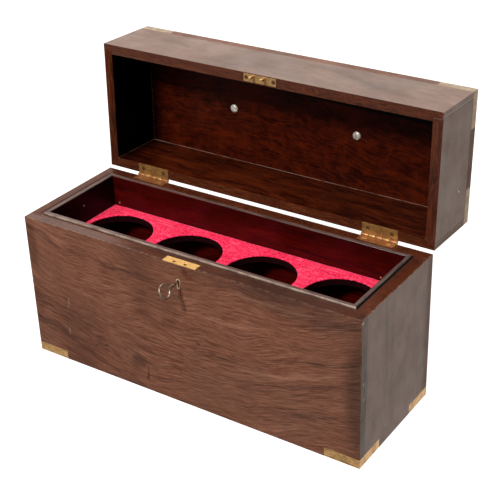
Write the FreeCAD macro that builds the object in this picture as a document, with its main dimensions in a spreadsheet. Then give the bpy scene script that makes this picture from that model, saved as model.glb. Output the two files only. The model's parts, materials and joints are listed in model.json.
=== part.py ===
import FreeCAD, Part
import math
import os
import re
import Sketcher

# A long, narrow travelling box for four bottles, standing open.
# Frame: the origin is the centre of the underside, +X runs along the front to the right,
# the front faces -Y and +Z is up. Every length is in millimetres.
# The lid is drawn shut and then opened about its hinge line.

SIZES = {
    # overall box
    "box_width": 460,
    "box_depth": 162,
    "base_height": 189,
    "lid_height": 88,
    "lid_gap": 0.6,
    "lid_open": 92,
    # boards and joints
    "base_wall": 16,
    "base_lap": 11,
    "floor_thick": 10,
    "lid_wall": 12,
    "lid_lap": 8,
    "lid_top": 12,
    # linings
    "lining_gap": 0.4,
    "lining_thick": 6,
    "lining_proud": 2.5,
    "lining_round": 1.8,
    "brad_radius": 1.1,
    "brad_length": 5,
    "brad_proud": 1.0,
    # bottle rack
    "cell_pitch": 104,
    "cell_radius": 44,
    "velvet_drop": 37,
    "velvet_thick": 1.5,
    "rack_thick": 9,
    "rack_play": 0.3,
    "partition_thick": 8,
    "brad_corner": 8,
    "brad_inner": 30,
    "brad_rise": 3,
    "brad_fall": 15,
    "batten_size": 6,
    # brass corner straps
    "strap_reach": 44.5,
    "strap_height": 11.5,
    "strap_thick": 1.2,
    "strap_pin_near": 12,
    "strap_pin_far": 36,
    "strap_pin_radius": 1.1,
    "strap_pin_length": 8,
    # butt hinges
    "hinge_offset": 161.5,
    "hinge_length": 46,
    "leaf_thick": 1.6,
    "leaf_width": 10.4,
    "barrel_radius": 2.6,
    "axis_back": 2.7,
    "knuckle_count": 5,
    "knuckle_play": 0.12,
    "tongue_root": 0.5,
    "hinge_pin_radius": 1.1,
    "hinge_pin_play": 0.04,
    "hinge_screw_spread": 15.5,
    "screw_head_radius": 2.6,
    "screw_shank_radius": 1.1,
    "screw_length": 11,
    "screw_slot": 0.6,
    # lock
    "plate_length": 45,
    "plate_width": 10,
    "plate_thick": 1.6,
    "plate_pin_offset": 21.1,
    "plate_pin_radius": 0.9,
    "plate_pin_length": 11,
    "staple_offset": -1.05,
    "staple_pitch": 15.3,
    "staple_inset": 3.3,
    "staple_wide": 3.4,
    "staple_deep": 2.6,
    "staple_drop": 8.5,
    "staple_eye_deep": 1.6,
    "staple_eye_tall": 3.4,
    "staple_bar": 1.6,
    "staple_root": 0.5,
    "slot_wide": 4.2,
    "slot_deep": 3.6,
    "case_width": 40,
    "case_deep": 8,
    "case_tall": 32,
    "case_wall": 0.7,
    "case_inset": 1.0,
    "bolt_thick": 1.0,
    "bolt_throw": 5,
    "bolt_left": 18.4,
    "bolt_right": 9,
    "bolt_low": 3.8,
    "bolt_high": 14.2,
    "talon_left": 10.4,
    "talon_right": 3.8,
    "talon_high": 6.8,
    "finger_wide": 2.5,
    "finger_root": 12,
    "finger_gap": 0.4,
    "finger_short": 0.6,
    "finger_top": 3,
    "lever_behind": 1.7,
    "lever_thick": 1.0,
    "lever_pivot_x": 14,
    "lever_left": 12,
    "lever_low": 4.8,
    "lever_middle": 7,
    "lever_high": 9.2,
    "lever_eye_radius": 2.8,
    "lever_bore_radius": 1.05,
    "pivot_radius": 1.0,
    "pivot_length": 4.2,
    "spring_foot": 9.5,
    "spring_tip": 0.7,
    "spring_rise": 3.5,
    "spring_leaf": 0.4,
    "spring_wide": 0.8,
    "key_offset": -2.5,
    "key_drop": 22.8,
    "keyhole_radius": 2.1,
    "keyhole_wide": 2.0,
    "keyhole_fall": 8.6,
    "thread_band": 0.9,
    "thread_deep": 1.0,
    "thread_proud": 0.3,
    "key_turned": 25,
    "shank_radius": 1.5,
    "key_bore_radius": 0.85,
    "drill_pin_radius": 0.8,
    "shank_out": 17,
    "bow_radius": 8.3,
    "bow_wire": 1.15,
    "collar_out": 2,
    "collar_band": 0.8,
    "collar_length": 1.4,
    "key_end_play": 2.2,
    "bit_reach": 6,
    "bit_wide": 3.6,
    "bit_thick": 1.4,
    # link plate in the lid's rim
    "link_length": 44,
    "link_width": 9.5,
    "link_inset": 1.1,
    "link_screw_offset": 18.5,
    # carrying handle
    "handle_spacing": 175,
    "handle_screw_head": 5.4,
    "handle_screw_dome": 2.6,
    "handle_screw_radius": 2.0,
    "handle_screw_slot": 1.3,
    "handle_screw_slope": 1.6,
    "handle_screw_bite": 5,
    "rose_radius": 10,
    "rose_thick": 1.6,
    "pivot_height": 7.5,
    "eye_radius": 4.6,
    "eye_length": 8,
    "bail_pivot_radius": 2.0,
    "bail_play": 0.06,
    "bail_rod": 3.0,
    "bail_grip": 3.6,
    "bail_drop": 42,
    "bail_bend": 12,
    "bail_elbow": 4,
    "bail_pivot_past": 1.5,
    "bail_arm_gap": 1,
    "bail_swell_short": 10,
    "sketch_ring": 50,
}

# Lengths that follow from the sizes.
HALF_W = "(box_width / 2)"
HALF_D = "(box_depth / 2)"
LID_LOW = "(base_height + lid_gap)"
LID_HIGH = "(base_height + lid_gap + lid_height)"
LID_CEILING = "(base_height + lid_gap + lid_height - lid_top)"
LINING_X = "(box_width / 2 - base_wall - lining_gap)"
LINING_Y = "(box_depth / 2 - base_wall - lining_gap)"
INNER_X = "(box_width / 2 - base_wall - lining_gap - lining_thick)"
INNER_Y = "(box_depth / 2 - base_wall - lining_gap - lining_thick)"
VELVET_TOP = "(base_height - velvet_drop)"
RACK_TOP = "(base_height - velvet_drop - velvet_thick)"
RACK_LOW = "(base_height - velvet_drop - velvet_thick - rack_thick)"
AXIS_Y = "(box_depth / 2 + axis_back)"
AXIS_Z = "(base_height + lid_gap / 2)"
CASE_FRONT = "(-box_depth / 2 + case_inset)"
STAPLE_Y = "(-box_depth / 2 + staple_inset)"
PLATE_LOW = "(base_height - plate_thick)"
CASE_LOW = "(base_height - plate_thick - case_tall)"
KEY_Z = "(base_height - key_drop)"
PIVOT_Z = "(base_height + lid_gap + lid_height + pivot_height)"

doc = FreeCAD.newDocument("campaign_bottle_box")
sheet = doc.addObject("Spreadsheet::Sheet", "Sizes")
for row, (alias, number) in enumerate(SIZES.items(), start=1):
    sheet.set("A%d" % row, alias)
    sheet.set("B%d" % row, str(number))
    sheet.setAlias("B%d" % row, alias)
doc.recompute()

nodes = {}


def formula(text):
    """Write the sheet's name in front of every size that a formula uses."""
    def with_sheet(word):
        return "Sizes." + word[0] if word[0] in SIZES else word[0]
    return re.sub(r"[a-z_]+", with_sheet, str(text))


def bind(thing, **formulas):
    """Bind properties of an object to formulas; a double underscore stands for a dot."""
    for prop, text in formulas.items():
        thing.setExpression(prop.replace("__", "."), formula(text))


def put(thing, x, y, z):
    """Bind an object's position to three formulas."""
    bind(thing, Placement__Base__x=x, Placement__Base__y=y, Placement__Base__z=z)


def node(name, thing):
    """Name a finished piece of the base."""
    thing.Label = name
    nodes[name] = thing
    return thing


def block(name, low, high):
    """A rectangular block between two corners, each three formulas."""
    box = doc.addObject("Part::Box", name)
    bind(box, Length="(%s) - (%s)" % (high[0], low[0]), Width="(%s) - (%s)" % (high[1], low[1]),
         Height="(%s) - (%s)" % (high[2], low[2]))
    put(box, *low)
    return box


TURNS = {
    "+x": FreeCAD.Rotation(FreeCAD.Vector(0, 1, 0), 90),
    "-x": FreeCAD.Rotation(FreeCAD.Vector(0, 1, 0), -90),
    "+y": FreeCAD.Rotation(FreeCAD.Vector(1, 0, 0), -90),
    "-y": FreeCAD.Rotation(FreeCAD.Vector(1, 0, 0), 90),
    "+z": FreeCAD.Rotation(),
    "-z": FreeCAD.Rotation(FreeCAD.Vector(1, 0, 0), 180),
}


def rod(name, foot, way, radius, length):
    """A round rod that starts at foot and runs along +x, -x, +y, -y, +z or -z."""
    bar = doc.addObject("Part::Cylinder", name)
    bar.Placement = FreeCAD.Placement(FreeCAD.Vector(), TURNS[way])
    bind(bar, Radius=radius, Height=length)
    put(bar, *foot)
    return bar


def taper(name, foot, way, radius, end_radius, length):
    """A round taper that starts at foot and runs along way."""
    cone = doc.addObject("Part::Cone", name)
    cone.Placement = FreeCAD.Placement(FreeCAD.Vector(), TURNS[way])
    bind(cone, Radius1=radius, Radius2=end_radius, Height=length)
    put(cone, *foot)
    return cone


def join(name, pieces):
    """Several shapes fused into one solid."""
    fused = doc.addObject("Part::MultiFuse", name)
    fused.Shapes = pieces
    fused.Refine = True
    return fused


def group(name, pieces):
    """Several separate solids kept side by side."""
    compound = doc.addObject("Part::Compound", name)
    compound.Links = pieces
    return compound


def carve(name, stock, tools):
    """A shape with other shapes cut out of it."""
    cut = doc.addObject("Part::Cut", name)
    cut.Base = stock
    cut.Tool = tools[0] if len(tools) == 1 else join(name + "_tools", tools)
    return cut


def origin_plane(body, role):
    """One of a body's own three planes."""
    return [plane for plane in body.Origin.OriginFeatures if plane.Role == role][0]


def outline(name, role, corners, level, thickness):
    """A PartDesign body: a straight-sided outline drawn on an origin plane and padded.

    XY_Plane pads up from z = level, XZ_Plane pads towards -Y from y = -level
    and YZ_Plane pads towards +X from x = level.
    """
    body = doc.addObject("PartDesign::Body", name)
    sketch = body.newObject("Sketcher::SketchObject", name + "_outline")
    sketch.AttachmentSupport = [(origin_plane(body, role), "")]
    sketch.MapMode = "FlatFace"
    count = len(corners)
    # The corners start on a circle, and the formulas then place them.
    steps = [2 * math.pi * i / count for i in range(count)]
    ring = [FreeCAD.Vector(math.cos(step), math.sin(step), 0) * SIZES["sketch_ring"] for step in steps]
    for i in range(count):
        sketch.addGeometry(Part.LineSegment(ring[i], ring[(i + 1) % count]), False)
    for i in range(count):
        sketch.addConstraint(Sketcher.Constraint("Coincident", i, 2, (i + 1) % count, 1))
    for i, (across, along) in enumerate(corners):
        for kind, start, text in (("DistanceX", ring[i].x, across), ("DistanceY", ring[i].y, along)):
            index = sketch.addConstraint(Sketcher.Constraint(kind, -1, 1, i, 1, start))
            sketch.setExpression("Constraints[%d]" % index, formula(text))
    sketch.setExpression("AttachmentOffset.Base.z", formula(level))
    pad = body.newObject("PartDesign::Pad", name + "_pad")
    pad.Profile = sketch
    pad.setExpression("Length", formula(thickness))
    body.Tip = pad
    return body


def round_edges(body, picks, radius):
    """Round the edges of a body's last feature that picks() chooses."""
    doc.recompute()
    pad = body.Tip
    chosen = ["Edge%d" % (i + 1) for i, edge in enumerate(pad.Shape.Edges) if picks(edge)]
    fillet = body.newObject("PartDesign::Fillet", body.Name + "_rounding")
    fillet.Base = (pad, chosen)
    fillet.setExpression("Radius", formula(radius))
    body.Tip = fillet
    return body


def size(alias):
    """A size from the sheet, as a number."""
    return float(sheet.get(alias))


def signed(sign, text):
    """A formula on the left (-1) or right (1), or at the front (-1) or back (1)."""
    return "%d * (%s)" % (sign, text)


def open_lid():
    """The placement that swings the shut lid open about the hinge line."""
    axis_y = size("box_depth") / 2 + size("axis_back")
    axis_z = size("base_height") + size("lid_gap") / 2
    swing = FreeCAD.Rotation(FreeCAD.Vector(1, 0, 0), -size("lid_open"))
    return FreeCAD.Placement(FreeCAD.Vector(), swing, FreeCAD.Vector(0, axis_y, axis_z))


def lid_node(name, thing):
    """Name a finished piece of the lid and swing it open with the rest of the lid."""
    opened = group(name, [thing])
    opened.Placement = open_lid()
    return node(name, opened)


def screw(name, face, way, length):
    """A countersunk slotted screw whose head is flush at face: the whole screw, and the slotted one."""
    shank = rod(name + "_shank", face, way, "screw_shank_radius", length)
    head = taper(name + "_head", face, way, "screw_head_radius", "screw_shank_radius", "leaf_thick")
    whole = join(name + "_whole", [shank, head])
    x, y, z = face
    low = (x + " - screw_slot / 2", y + " - screw_head_radius", z + " - screw_slot")
    high = (x + " + screw_slot / 2", y + " + screw_head_radius", z + " + screw_slot")
    slotted = carve(name + "_slotted", whole, [block(name + "_slot", low, high)])
    return whole, slotted


# ---------------------------------------------------------------- brass corner straps

def strap(name, side, front, low):
    """A brass strap that wraps one vertical edge: side and front are -1 or 1."""
    x = signed(side, HALF_W)
    y = signed(front, HALF_D)
    x_skin = signed(side, HALF_W + " - strap_thick")
    y_skin = signed(front, HALF_D + " - strap_thick")
    x_end = signed(side, HALF_W + " - strap_reach")
    y_end = signed(front, HALF_D + " - strap_reach")
    corners = [(x_end, y), (x, y), (x, y_end), (x_skin, y_end), (x_skin, y_skin), (x_end, y_skin)]
    return outline(name, "XY_Plane", corners, low, "strap_height")


def strap_pins(name, side, front, low):
    """The four flush pins of one strap."""
    height = low + " + strap_height / 2"
    pins = []
    for reach in ("strap_pin_near", "strap_pin_far"):
        along_x = (signed(side, HALF_W + " - " + reach), signed(front, HALF_D), height)
        along_y = (signed(side, HALF_W), signed(front, HALF_D + " - " + reach), height)
        pins.append(rod(name + "_" + reach + "_x", along_x, "+y" if front < 0 else "-y",
                        "strap_pin_radius", "strap_pin_length"))
        pins.append(rod(name + "_" + reach + "_y", along_y, "+x" if side < 0 else "-x",
                        "strap_pin_radius", "strap_pin_length"))
    return pins


CORNERS = [("front_left", -1, -1), ("front_right", 1, -1), ("back_left", -1, 1), ("back_right", 1, 1)]

base_straps, base_pins, lid_straps, lid_pins = {}, {}, {}, {}
for place, side, front in CORNERS:
    base_pins[place] = strap_pins("base_pin_" + place, side, front, "0")
    base_straps[place] = strap("base_strap_stock_" + place, side, front, "0")
    node("base_strap_" + place, carve("base_strap_" + place, base_straps[place], base_pins[place]))
    lid_pins[place] = strap_pins("lid_pin_" + place, side, front, LID_HIGH + " - strap_height")
    lid_straps[place] = strap("lid_strap_stock_" + place, side, front, LID_HIGH + " - strap_height")
    lid_node("lid_strap_" + place, carve("lid_strap_cut_" + place, lid_straps[place], lid_pins[place]))
node("base_strap_pins", group("base_strap_pins", sum(base_pins.values(), [])))
lid_node("lid_strap_pins", group("lid_strap_pin_set", sum(lid_pins.values(), [])))


def corner_metal(straps, pins, *places):
    """The straps and pins that are let into one board."""
    return [straps[place] for place in places] + sum([pins[place] for place in places], [])


# ---------------------------------------------------------------- butt hinges

def knuckles(name, centre, turns, bore, leaf_low):
    """The rolled knuckles numbered in turns, each with the tongue that joins it to its leaf."""
    pieces = []
    for i in turns:
        low = "%s + hinge_length * (%d / knuckle_count - 1 / 2) + knuckle_play" % (centre, i)
        high = "%s + hinge_length * (%d / knuckle_count - 1 / 2) - knuckle_play" % (centre, i + 1)
        pieces.append(block("%s_tongue_%d" % (name, i), (low, HALF_D + " - tongue_root", leaf_low),
                            (high, AXIS_Y, leaf_low + " + leaf_thick")))
        pieces.append(rod("%s_knuckle_%d" % (name, i), (low, AXIS_Y, AXIS_Z), "+x", "barrel_radius",
                          "hinge_length / knuckle_count - 2 * knuckle_play"))
    hole = rod(name + "_bore", (centre + " - hinge_length", AXIS_Y, AXIS_Z), "+x", bore,
               "2 * hinge_length")
    return pieces, hole


hinge_tools_base, hinge_tools_lid = [], []
base_screws, lid_screws = [], []
for place, side in (("left", -1), ("right", 1)):
    centre = signed(side, "hinge_offset")
    low_x = centre + " - hinge_length / 2"
    high_x = centre + " + hinge_length / 2"
    base_leaf_low = "base_height - leaf_thick"
    base_leaf = block("base_leaf_" + place, (low_x, HALF_D + " - leaf_width", base_leaf_low),
                      (high_x, HALF_D, "base_height"))
    lid_leaf = block("lid_leaf_" + place, (low_x, HALF_D + " - lid_wall", LID_LOW),
                     (high_x, HALF_D, LID_LOW + " + leaf_thick"))
    hinge_tools_base.append(base_leaf)
    hinge_tools_lid.append(lid_leaf)
    leaf_screws, cover_screws = [], []
    for end in (-1, 1):
        x = "%s + %s" % (centre, signed(end, "hinge_screw_spread"))
        tag = place + ("_inner" if end * side < 0 else "_outer")
        leaf_screws.append(screw("base_screw_" + tag, (x, HALF_D + " - leaf_width / 2", "base_height"),
                                 "-z", "screw_length"))
        cover_screws.append(screw("lid_screw_" + tag, (x, HALF_D + " - lid_wall / 2", LID_LOW),
                                  "+z", "screw_length"))
    hinge_tools_base += [whole for whole, slotted in leaf_screws]
    hinge_tools_lid += [whole for whole, slotted in cover_screws]
    base_screws += [slotted for whole, slotted in leaf_screws]
    lid_screws += [slotted for whole, slotted in cover_screws]
    rolled, bore = knuckles("base_" + place, centre, (0, 2, 4), "hinge_pin_radius", base_leaf_low)
    node("hinge_%s_base_leaf" % place,
         carve("hinge_%s_base_leaf" % place, join("base_leaf_stock_" + place, [base_leaf] + rolled),
               [bore] + [whole for whole, slotted in leaf_screws]))
    rolled, bore = knuckles("lid_" + place, centre, (1, 3), "hinge_pin_radius + hinge_pin_play", LID_LOW)
    lid_node("hinge_%s_lid_leaf" % place,
             carve("hinge_lid_leaf_cut_" + place, join("lid_leaf_stock_" + place, [lid_leaf] + rolled),
                   [bore] + [whole for whole, slotted in cover_screws]))
    node("hinge_%s_pin" % place, rod("hinge_%s_pin" % place, (low_x, AXIS_Y, AXIS_Z), "+x",
                                     "hinge_pin_radius", "hinge_length"))
node("hinge_base_screws", group("hinge_base_screws", base_screws))
lid_node("hinge_lid_screws", group("hinge_lid_screw_set", lid_screws))

# ---------------------------------------------------------------- lock

def keyhole(name, front_y, back_y, grow):
    """The outline of the keyhole, grown by a band, from front_y back to back_y."""
    round_part = rod(name + "_round", ("key_offset", front_y, KEY_Z), "+y", "keyhole_radius + " + grow,
                     "(%s) - (%s)" % (back_y, front_y))
    half = "keyhole_wide / 2 + " + grow
    slot = block(name + "_slot", ("key_offset - (%s)" % half, front_y, KEY_Z + " - keyhole_fall - " + grow),
                 ("key_offset + " + half, back_y, KEY_Z))
    return join(name, [round_part, slot])


def staple_x(side):
    """Where the left (-1) or right (1) staple stands along the front."""
    return "staple_offset + %s" % signed(side, "staple_pitch / 2")


plate_stock = block("plate_stock", ("-plate_length / 2", "-" + HALF_D, PLATE_LOW),
                    ("plate_length / 2", "-" + HALF_D + " + plate_width", "base_height"))
slots = []
for place, side in (("left", -1), ("right", 1)):
    slots.append(block("plate_slot_" + place,
                       (staple_x(side) + " - slot_wide / 2", STAPLE_Y + " - slot_deep / 2", PLATE_LOW),
                       (staple_x(side) + " + slot_wide / 2", STAPLE_Y + " + slot_deep / 2", "base_height")))
PLATE_MIDDLE = "-%s + plate_width / 2" % HALF_D
lock_pins = [rod("lock_pin_" + place, (signed(side, "plate_pin_offset"), PLATE_MIDDLE, "base_height"),
                 "-z", "plate_pin_radius", "plate_pin_length")
             for place, side in (("left", -1), ("right", 1))]
node("lock_selvedge_plate", carve("lock_selvedge_plate", plate_stock, slots + lock_pins))
node("lock_plate_pins", group("lock_plate_pins", lock_pins))

case_stock = block("case_stock", ("-case_width / 2", CASE_FRONT, CASE_LOW),
                   ("case_width / 2", CASE_FRONT + " + case_deep", PLATE_LOW))
case_room = block("case_room",
                  ("-case_width / 2 + case_wall", CASE_FRONT + " + case_wall", CASE_LOW + " + case_wall"),
                  ("case_width / 2 - case_wall", CASE_FRONT + " + case_deep - case_wall", PLATE_LOW))
keyway = keyhole("keyway", "-%s - 1" % HALF_D, CASE_FRONT + " + case_wall", "0")
node("lock_case", carve("lock_case", case_stock, [case_room, keyway]))

thread_stock = keyhole("thread_stock", "-%s - thread_proud" % HALF_D, "-%s + thread_deep" % HALF_D,
                       "thread_band")
node("keyhole_thread", carve("keyhole_thread", thread_stock, [keyway]))

# The drill pin stands on the case's back wall, and the piped key runs on it.
DRILL_FOOT = CASE_FRONT + " + case_deep - case_wall"
node("lock_drill_pin", rod("lock_drill_pin", ("key_offset", DRILL_FOOT, KEY_Z), "-y", "drill_pin_radius",
                           "case_deep"))


def finger(name, side):
    """One upright arm of the bolt with the finger that enters a staple's eye."""
    front = STAPLE_Y + " - bolt_thick / 2"
    back = STAPLE_Y + " + bolt_thick / 2"
    root = staple_x(side) + " - (staple_wide / 2 + bolt_throw + finger_gap)"
    top = EYE_LOW + " + finger_top"
    arm = block(name + "_arm", (root + " - finger_wide", front, KEY_Z + " + finger_root"), (root, back, top))
    point = block(name + "_point", (root, front, EYE_LOW + " + finger_gap"),
                  (staple_x(side) + " - staple_wide / 2 - finger_short", back, top))
    return [arm, point]


# The eye of a staple when the lid is shut.
EYE_LOW = "(base_height + lid_gap - staple_drop + staple_bar)"
EYE_HIGH = EYE_LOW + " + staple_eye_tall"
bolt_bar = block("bolt_bar", ("-bolt_left", STAPLE_Y + " - bolt_thick / 2", KEY_Z + " + bolt_low"),
                 ("bolt_right", STAPLE_Y + " + bolt_thick / 2", KEY_Z + " + bolt_high"))
talon = block("bolt_talon", ("key_offset - talon_left", STAPLE_Y + " - bolt_thick", KEY_Z),
              ("key_offset - talon_right", STAPLE_Y + " + bolt_thick", KEY_Z + " + talon_high"))
bolt_stock = join("bolt_stock", [bolt_bar] + finger("left_finger", -1) + finger("right_finger", 1))
node("lock_bolt", carve("lock_bolt", bolt_stock, [talon]))

# The lever lies behind the bolt and rocks on a pivot at its right-hand end.
LEVER_Y = "(%s + lever_behind)" % STAPLE_Y
LEVER_FRONT = LEVER_Y + " - lever_thick / 2"
LEVER_BACK = LEVER_Y + " + lever_thick / 2"
LEVER_Z = "(%s + lever_middle)" % KEY_Z
lever_arm = block("lever_arm", ("-lever_left", LEVER_FRONT, KEY_Z + " + lever_low"),
                  ("lever_pivot_x", LEVER_BACK, KEY_Z + " + lever_high"))
lever_eye = rod("lever_eye", ("lever_pivot_x", LEVER_FRONT, LEVER_Z), "+y", "lever_eye_radius", "lever_thick")
lever_bore = rod("lever_bore", ("lever_pivot_x", LEVER_Y + " - lever_thick", LEVER_Z), "+y",
                 "lever_bore_radius", "2 * lever_thick")
node("lock_lever", carve("lock_lever", join("lever_stock", [lever_arm, lever_eye]), [lever_bore]))
node("lock_lever_pivot", rod("lock_lever_pivot", ("lever_pivot_x", DRILL_FOOT, LEVER_Z), "-y",
                             "pivot_radius", "pivot_length"))
SPRING_LOW = KEY_Z + " + lever_high"
spring_corners = [("spring_foot", SPRING_LOW), ("spring_foot + 1.5 * spring_leaf", SPRING_LOW),
                  ("spring_tip + spring_leaf", SPRING_LOW + " + spring_rise"),
                  ("spring_tip", SPRING_LOW + " + spring_rise - spring_leaf")]
node("lock_lever_spring", outline("lock_lever_spring", "XZ_Plane", spring_corners,
                                  "-(%s + spring_leaf)" % LEVER_Y, "spring_wide"))

# The key: a piped shank with a ring bow, a collar and a bit.
BOW_Y = "(-%s - thread_proud - shank_out - bow_radius)" % HALF_D
KEY_END = DRILL_FOOT + " - key_end_play"
COLLAR_Y = "-%s - thread_proud - shank_out + collar_out" % HALF_D
shank = rod("key_shank", ("0", KEY_END, "0"), "-y", "shank_radius",
            "shank_out + thread_proud + case_inset + case_deep - case_wall - key_end_play")
collar = rod("key_collar", ("0", COLLAR_Y, "0"), "-y", "shank_radius + collar_band", "collar_length")
bow = doc.addObject("Part::Torus", "key_bow")
bow.Placement = FreeCAD.Placement(FreeCAD.Vector(), TURNS["+x"])
bind(bow, Radius1="bow_radius", Radius2="bow_wire")
put(bow, "0", BOW_Y, "0")
bit = block("key_bit", ("-bit_thick / 2", KEY_END + " - bit_wide", "-bit_reach"),
            ("bit_thick / 2", KEY_END, "0"))
pipe = rod("key_pipe", ("0", DRILL_FOOT, "0"), "-y", "key_bore_radius", "case_deep")
key = node("key", carve("key", join("key_stock", [shank, collar, bow, bit]), [pipe]))
key_seat = FreeCAD.Vector(size("key_offset"), 0, size("base_height") - size("key_drop"))
key.Placement = FreeCAD.Placement(key_seat, FreeCAD.Rotation(FreeCAD.Vector(0, 1, 0), -size("key_turned")))

# ---------------------------------------------------------------- base boards

def lapped_board(name, front, wall, lap, low, tall):
    """A front (-1) or back (1) board, thinned at its ends to lap over the side boards."""
    face = signed(front, HALF_D)
    lapped = signed(front, "%s - %s" % (HALF_D, lap))
    inside = signed(front, "%s - %s" % (HALF_D, wall))
    end = HALF_W
    shoulder = "(%s - %s)" % (HALF_W, wall)
    corners = [("-" + end, face), (end, face), (end, lapped), (shoulder, lapped), (shoulder, inside),
               ("-" + shoulder, inside), ("-" + shoulder, lapped), ("-" + end, lapped)]
    return outline(name, "XY_Plane", corners, low, tall)


def side_board(name, side, wall, lap, low, high):
    """A left (-1) or right (1) board between the front and back laps."""
    outer, inner = signed(side, HALF_W), signed(side, "%s - %s" % (HALF_W, wall))
    west, east = (outer, inner) if side < 0 else (inner, outer)
    return block(name, (west, "-(%s - %s)" % (HALF_D, lap), low), (east, "%s - %s" % (HALF_D, lap), high))


front_stock = lapped_board("base_front_stock", -1, "base_wall", "base_lap", "0", "base_height")
node("base_front_board", carve("base_front_board", front_stock,
                               corner_metal(base_straps, base_pins, "front_left", "front_right")
                               + [plate_stock, case_stock, thread_stock, keyway] + lock_pins))
back_stock = lapped_board("base_back_stock", 1, "base_wall", "base_lap", "0", "base_height")
back_metal = corner_metal(base_straps, base_pins, "back_left", "back_right")
node("base_back_board", carve("base_back_board", back_stock, back_metal + hinge_tools_base))
for place, side in (("left", -1), ("right", 1)):
    stock = side_board("base_%s_stock" % place, side, "base_wall", "base_lap", "0", "base_height")
    metal = corner_metal(base_straps, base_pins, "front_" + place, "back_" + place)
    node("base_%s_board" % place, carve("base_%s_board" % place, stock, metal))
node("base_bottom_board", block("base_bottom_board",
                                ("-(%s - base_wall)" % HALF_W, "-(%s - base_wall)" % HALF_D, "0"),
                                ("%s - base_wall" % HALF_W, "%s - base_wall" % HALF_D, "floor_thick")))

# ---------------------------------------------------------------- linings and brads

def brad(name, foot, into, out):
    """A small bright pin driven into a lining with its head left proud."""
    shank = rod(name + "_shank", foot, into, "brad_radius / 2", "brad_length")
    head = rod(name + "_head", foot, out, "brad_radius", "brad_proud")
    return shank, join(name, [shank, head])


BRAD_Z = VELVET_TOP + " + brad_rise"
BRAD_RIGHT = INNER_X + " - brad_corner"
BRAD_LEFT = "-" + INNER_X + " + brad_corner"
BRADS = {
    "back": [(BRAD_RIGHT, BRAD_Z), (BRAD_LEFT, BRAD_Z), (INNER_X + " - brad_inner", BRAD_Z)],
    "front": [(BRAD_RIGHT, BRAD_Z), (BRAD_LEFT, BRAD_Z)],
    "left": [("0", "base_height - brad_fall")],
    "right": [("0", "base_height - brad_fall")],
}
lining_holes, brads = {}, []
for place, spots in BRADS.items():
    lining_holes[place] = []
    for number, (along, height) in enumerate(spots):
        if place in ("front", "back"):
            sign = -1 if place == "front" else 1
            foot = (along, signed(sign, INNER_Y), height)
            into, out = ("-y", "+y") if sign < 0 else ("+y", "-y")
        else:
            sign = -1 if place == "left" else 1
            foot = (signed(sign, INNER_X), along, height)
            into, out = ("-x", "+x") if sign < 0 else ("+x", "-x")
        hole, whole = brad("brad_%s_%d" % (place, number), foot, into, out)
        lining_holes[place].append(hole)
        brads.append(whole)
node("lining_brads", group("lining_brads", brads))

LINING_TALL = "base_height + lining_proud - floor_thick"
LINING_TOP = size("base_height") + size("lining_proud")


def top_edge(along_x):
    """Pick the two long edges on top of a lining."""
    def picks(edge):
        ends = [vertex.Point for vertex in edge.Vertexes]
        run = ends[1] - ends[0]
        level = all(abs(point.z - LINING_TOP) < 0.01 for point in ends)
        return level and abs(run.y if along_x else run.x) < 0.01
    return picks


for place, sign in (("front", -1), ("back", 1)):
    corners = [("-" + LINING_X, signed(sign, LINING_Y)), (LINING_X, signed(sign, LINING_Y)),
               (INNER_X, signed(sign, INNER_Y)), ("-" + INNER_X, signed(sign, INNER_Y))]
    stock = outline("lining_%s_stock" % place, "XY_Plane", corners, "floor_thick", LINING_TALL)
    round_edges(stock, top_edge(True), "lining_round")
    node("lining_" + place, carve("lining_" + place, stock, lining_holes[place]))
for place, sign in (("left", -1), ("right", 1)):
    corners = [(signed(sign, LINING_X), "-" + LINING_Y), (signed(sign, LINING_X), LINING_Y),
               (signed(sign, INNER_X), INNER_Y), (signed(sign, INNER_X), "-" + INNER_Y)]
    stock = outline("lining_%s_stock" % place, "XY_Plane", corners, "floor_thick", LINING_TALL)
    round_edges(stock, top_edge(False), "lining_round")
    node("lining_" + place, carve("lining_" + place, stock, lining_holes[place]))

# ---------------------------------------------------------------- bottle rack

CELLS = [-1.5, -0.5, 0.5, 1.5]
RACK_X = "(%s - rack_play)" % INNER_X
RACK_Y = "(%s - rack_play)" % INNER_Y


def cell_rods(name, radius, low, tall):
    """Four upright rods, one on each bottle's axis."""
    return [rod("%s_%d" % (name, number), ("%g * cell_pitch" % cell, "0", low), "+z", radius, tall)
            for number, cell in enumerate(CELLS, start=1)]


rack_stock = block("rack_stock", ("-" + RACK_X, "-" + RACK_Y, RACK_LOW), (RACK_X, RACK_Y, RACK_TOP))
node("rack_board", carve("rack_board", rack_stock,
                         cell_rods("rack_hole", "cell_radius + velvet_thick", RACK_LOW, "rack_thick")))
velvet_sheet = block("velvet_sheet", ("-" + RACK_X, "-" + RACK_Y, RACK_TOP), (RACK_X, RACK_Y, VELVET_TOP))
sleeves = cell_rods("velvet_sleeve", "cell_radius + velvet_thick", RACK_LOW, "rack_thick")
node("rack_velvet", carve("rack_velvet", join("velvet_stock", [velvet_sheet] + sleeves),
                          cell_rods("velvet_hole", "cell_radius", RACK_LOW, "rack_thick + velvet_thick")))
for number, cell in enumerate([-1, 0, 1], start=1):
    middle = "%d * cell_pitch" % cell
    node("cell_partition_%d" % number,
         block("cell_partition_%d" % number,
               (middle + " - partition_thick / 2", "-" + INNER_Y, "floor_thick"),
               (middle + " + partition_thick / 2", INNER_Y, RACK_LOW)))
for place, west, east in (("left", "-" + INNER_X, "-%s + batten_size" % INNER_X),
                          ("right", INNER_X + " - batten_size", INNER_X)):
    node("rack_batten_" + place,
         block("rack_batten_" + place, (west, "-" + INNER_Y, RACK_LOW + " - 2 * batten_size"),
               (east, INNER_Y, RACK_LOW)))

# ---------------------------------------------------------------- link plate in the lid's rim

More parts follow.
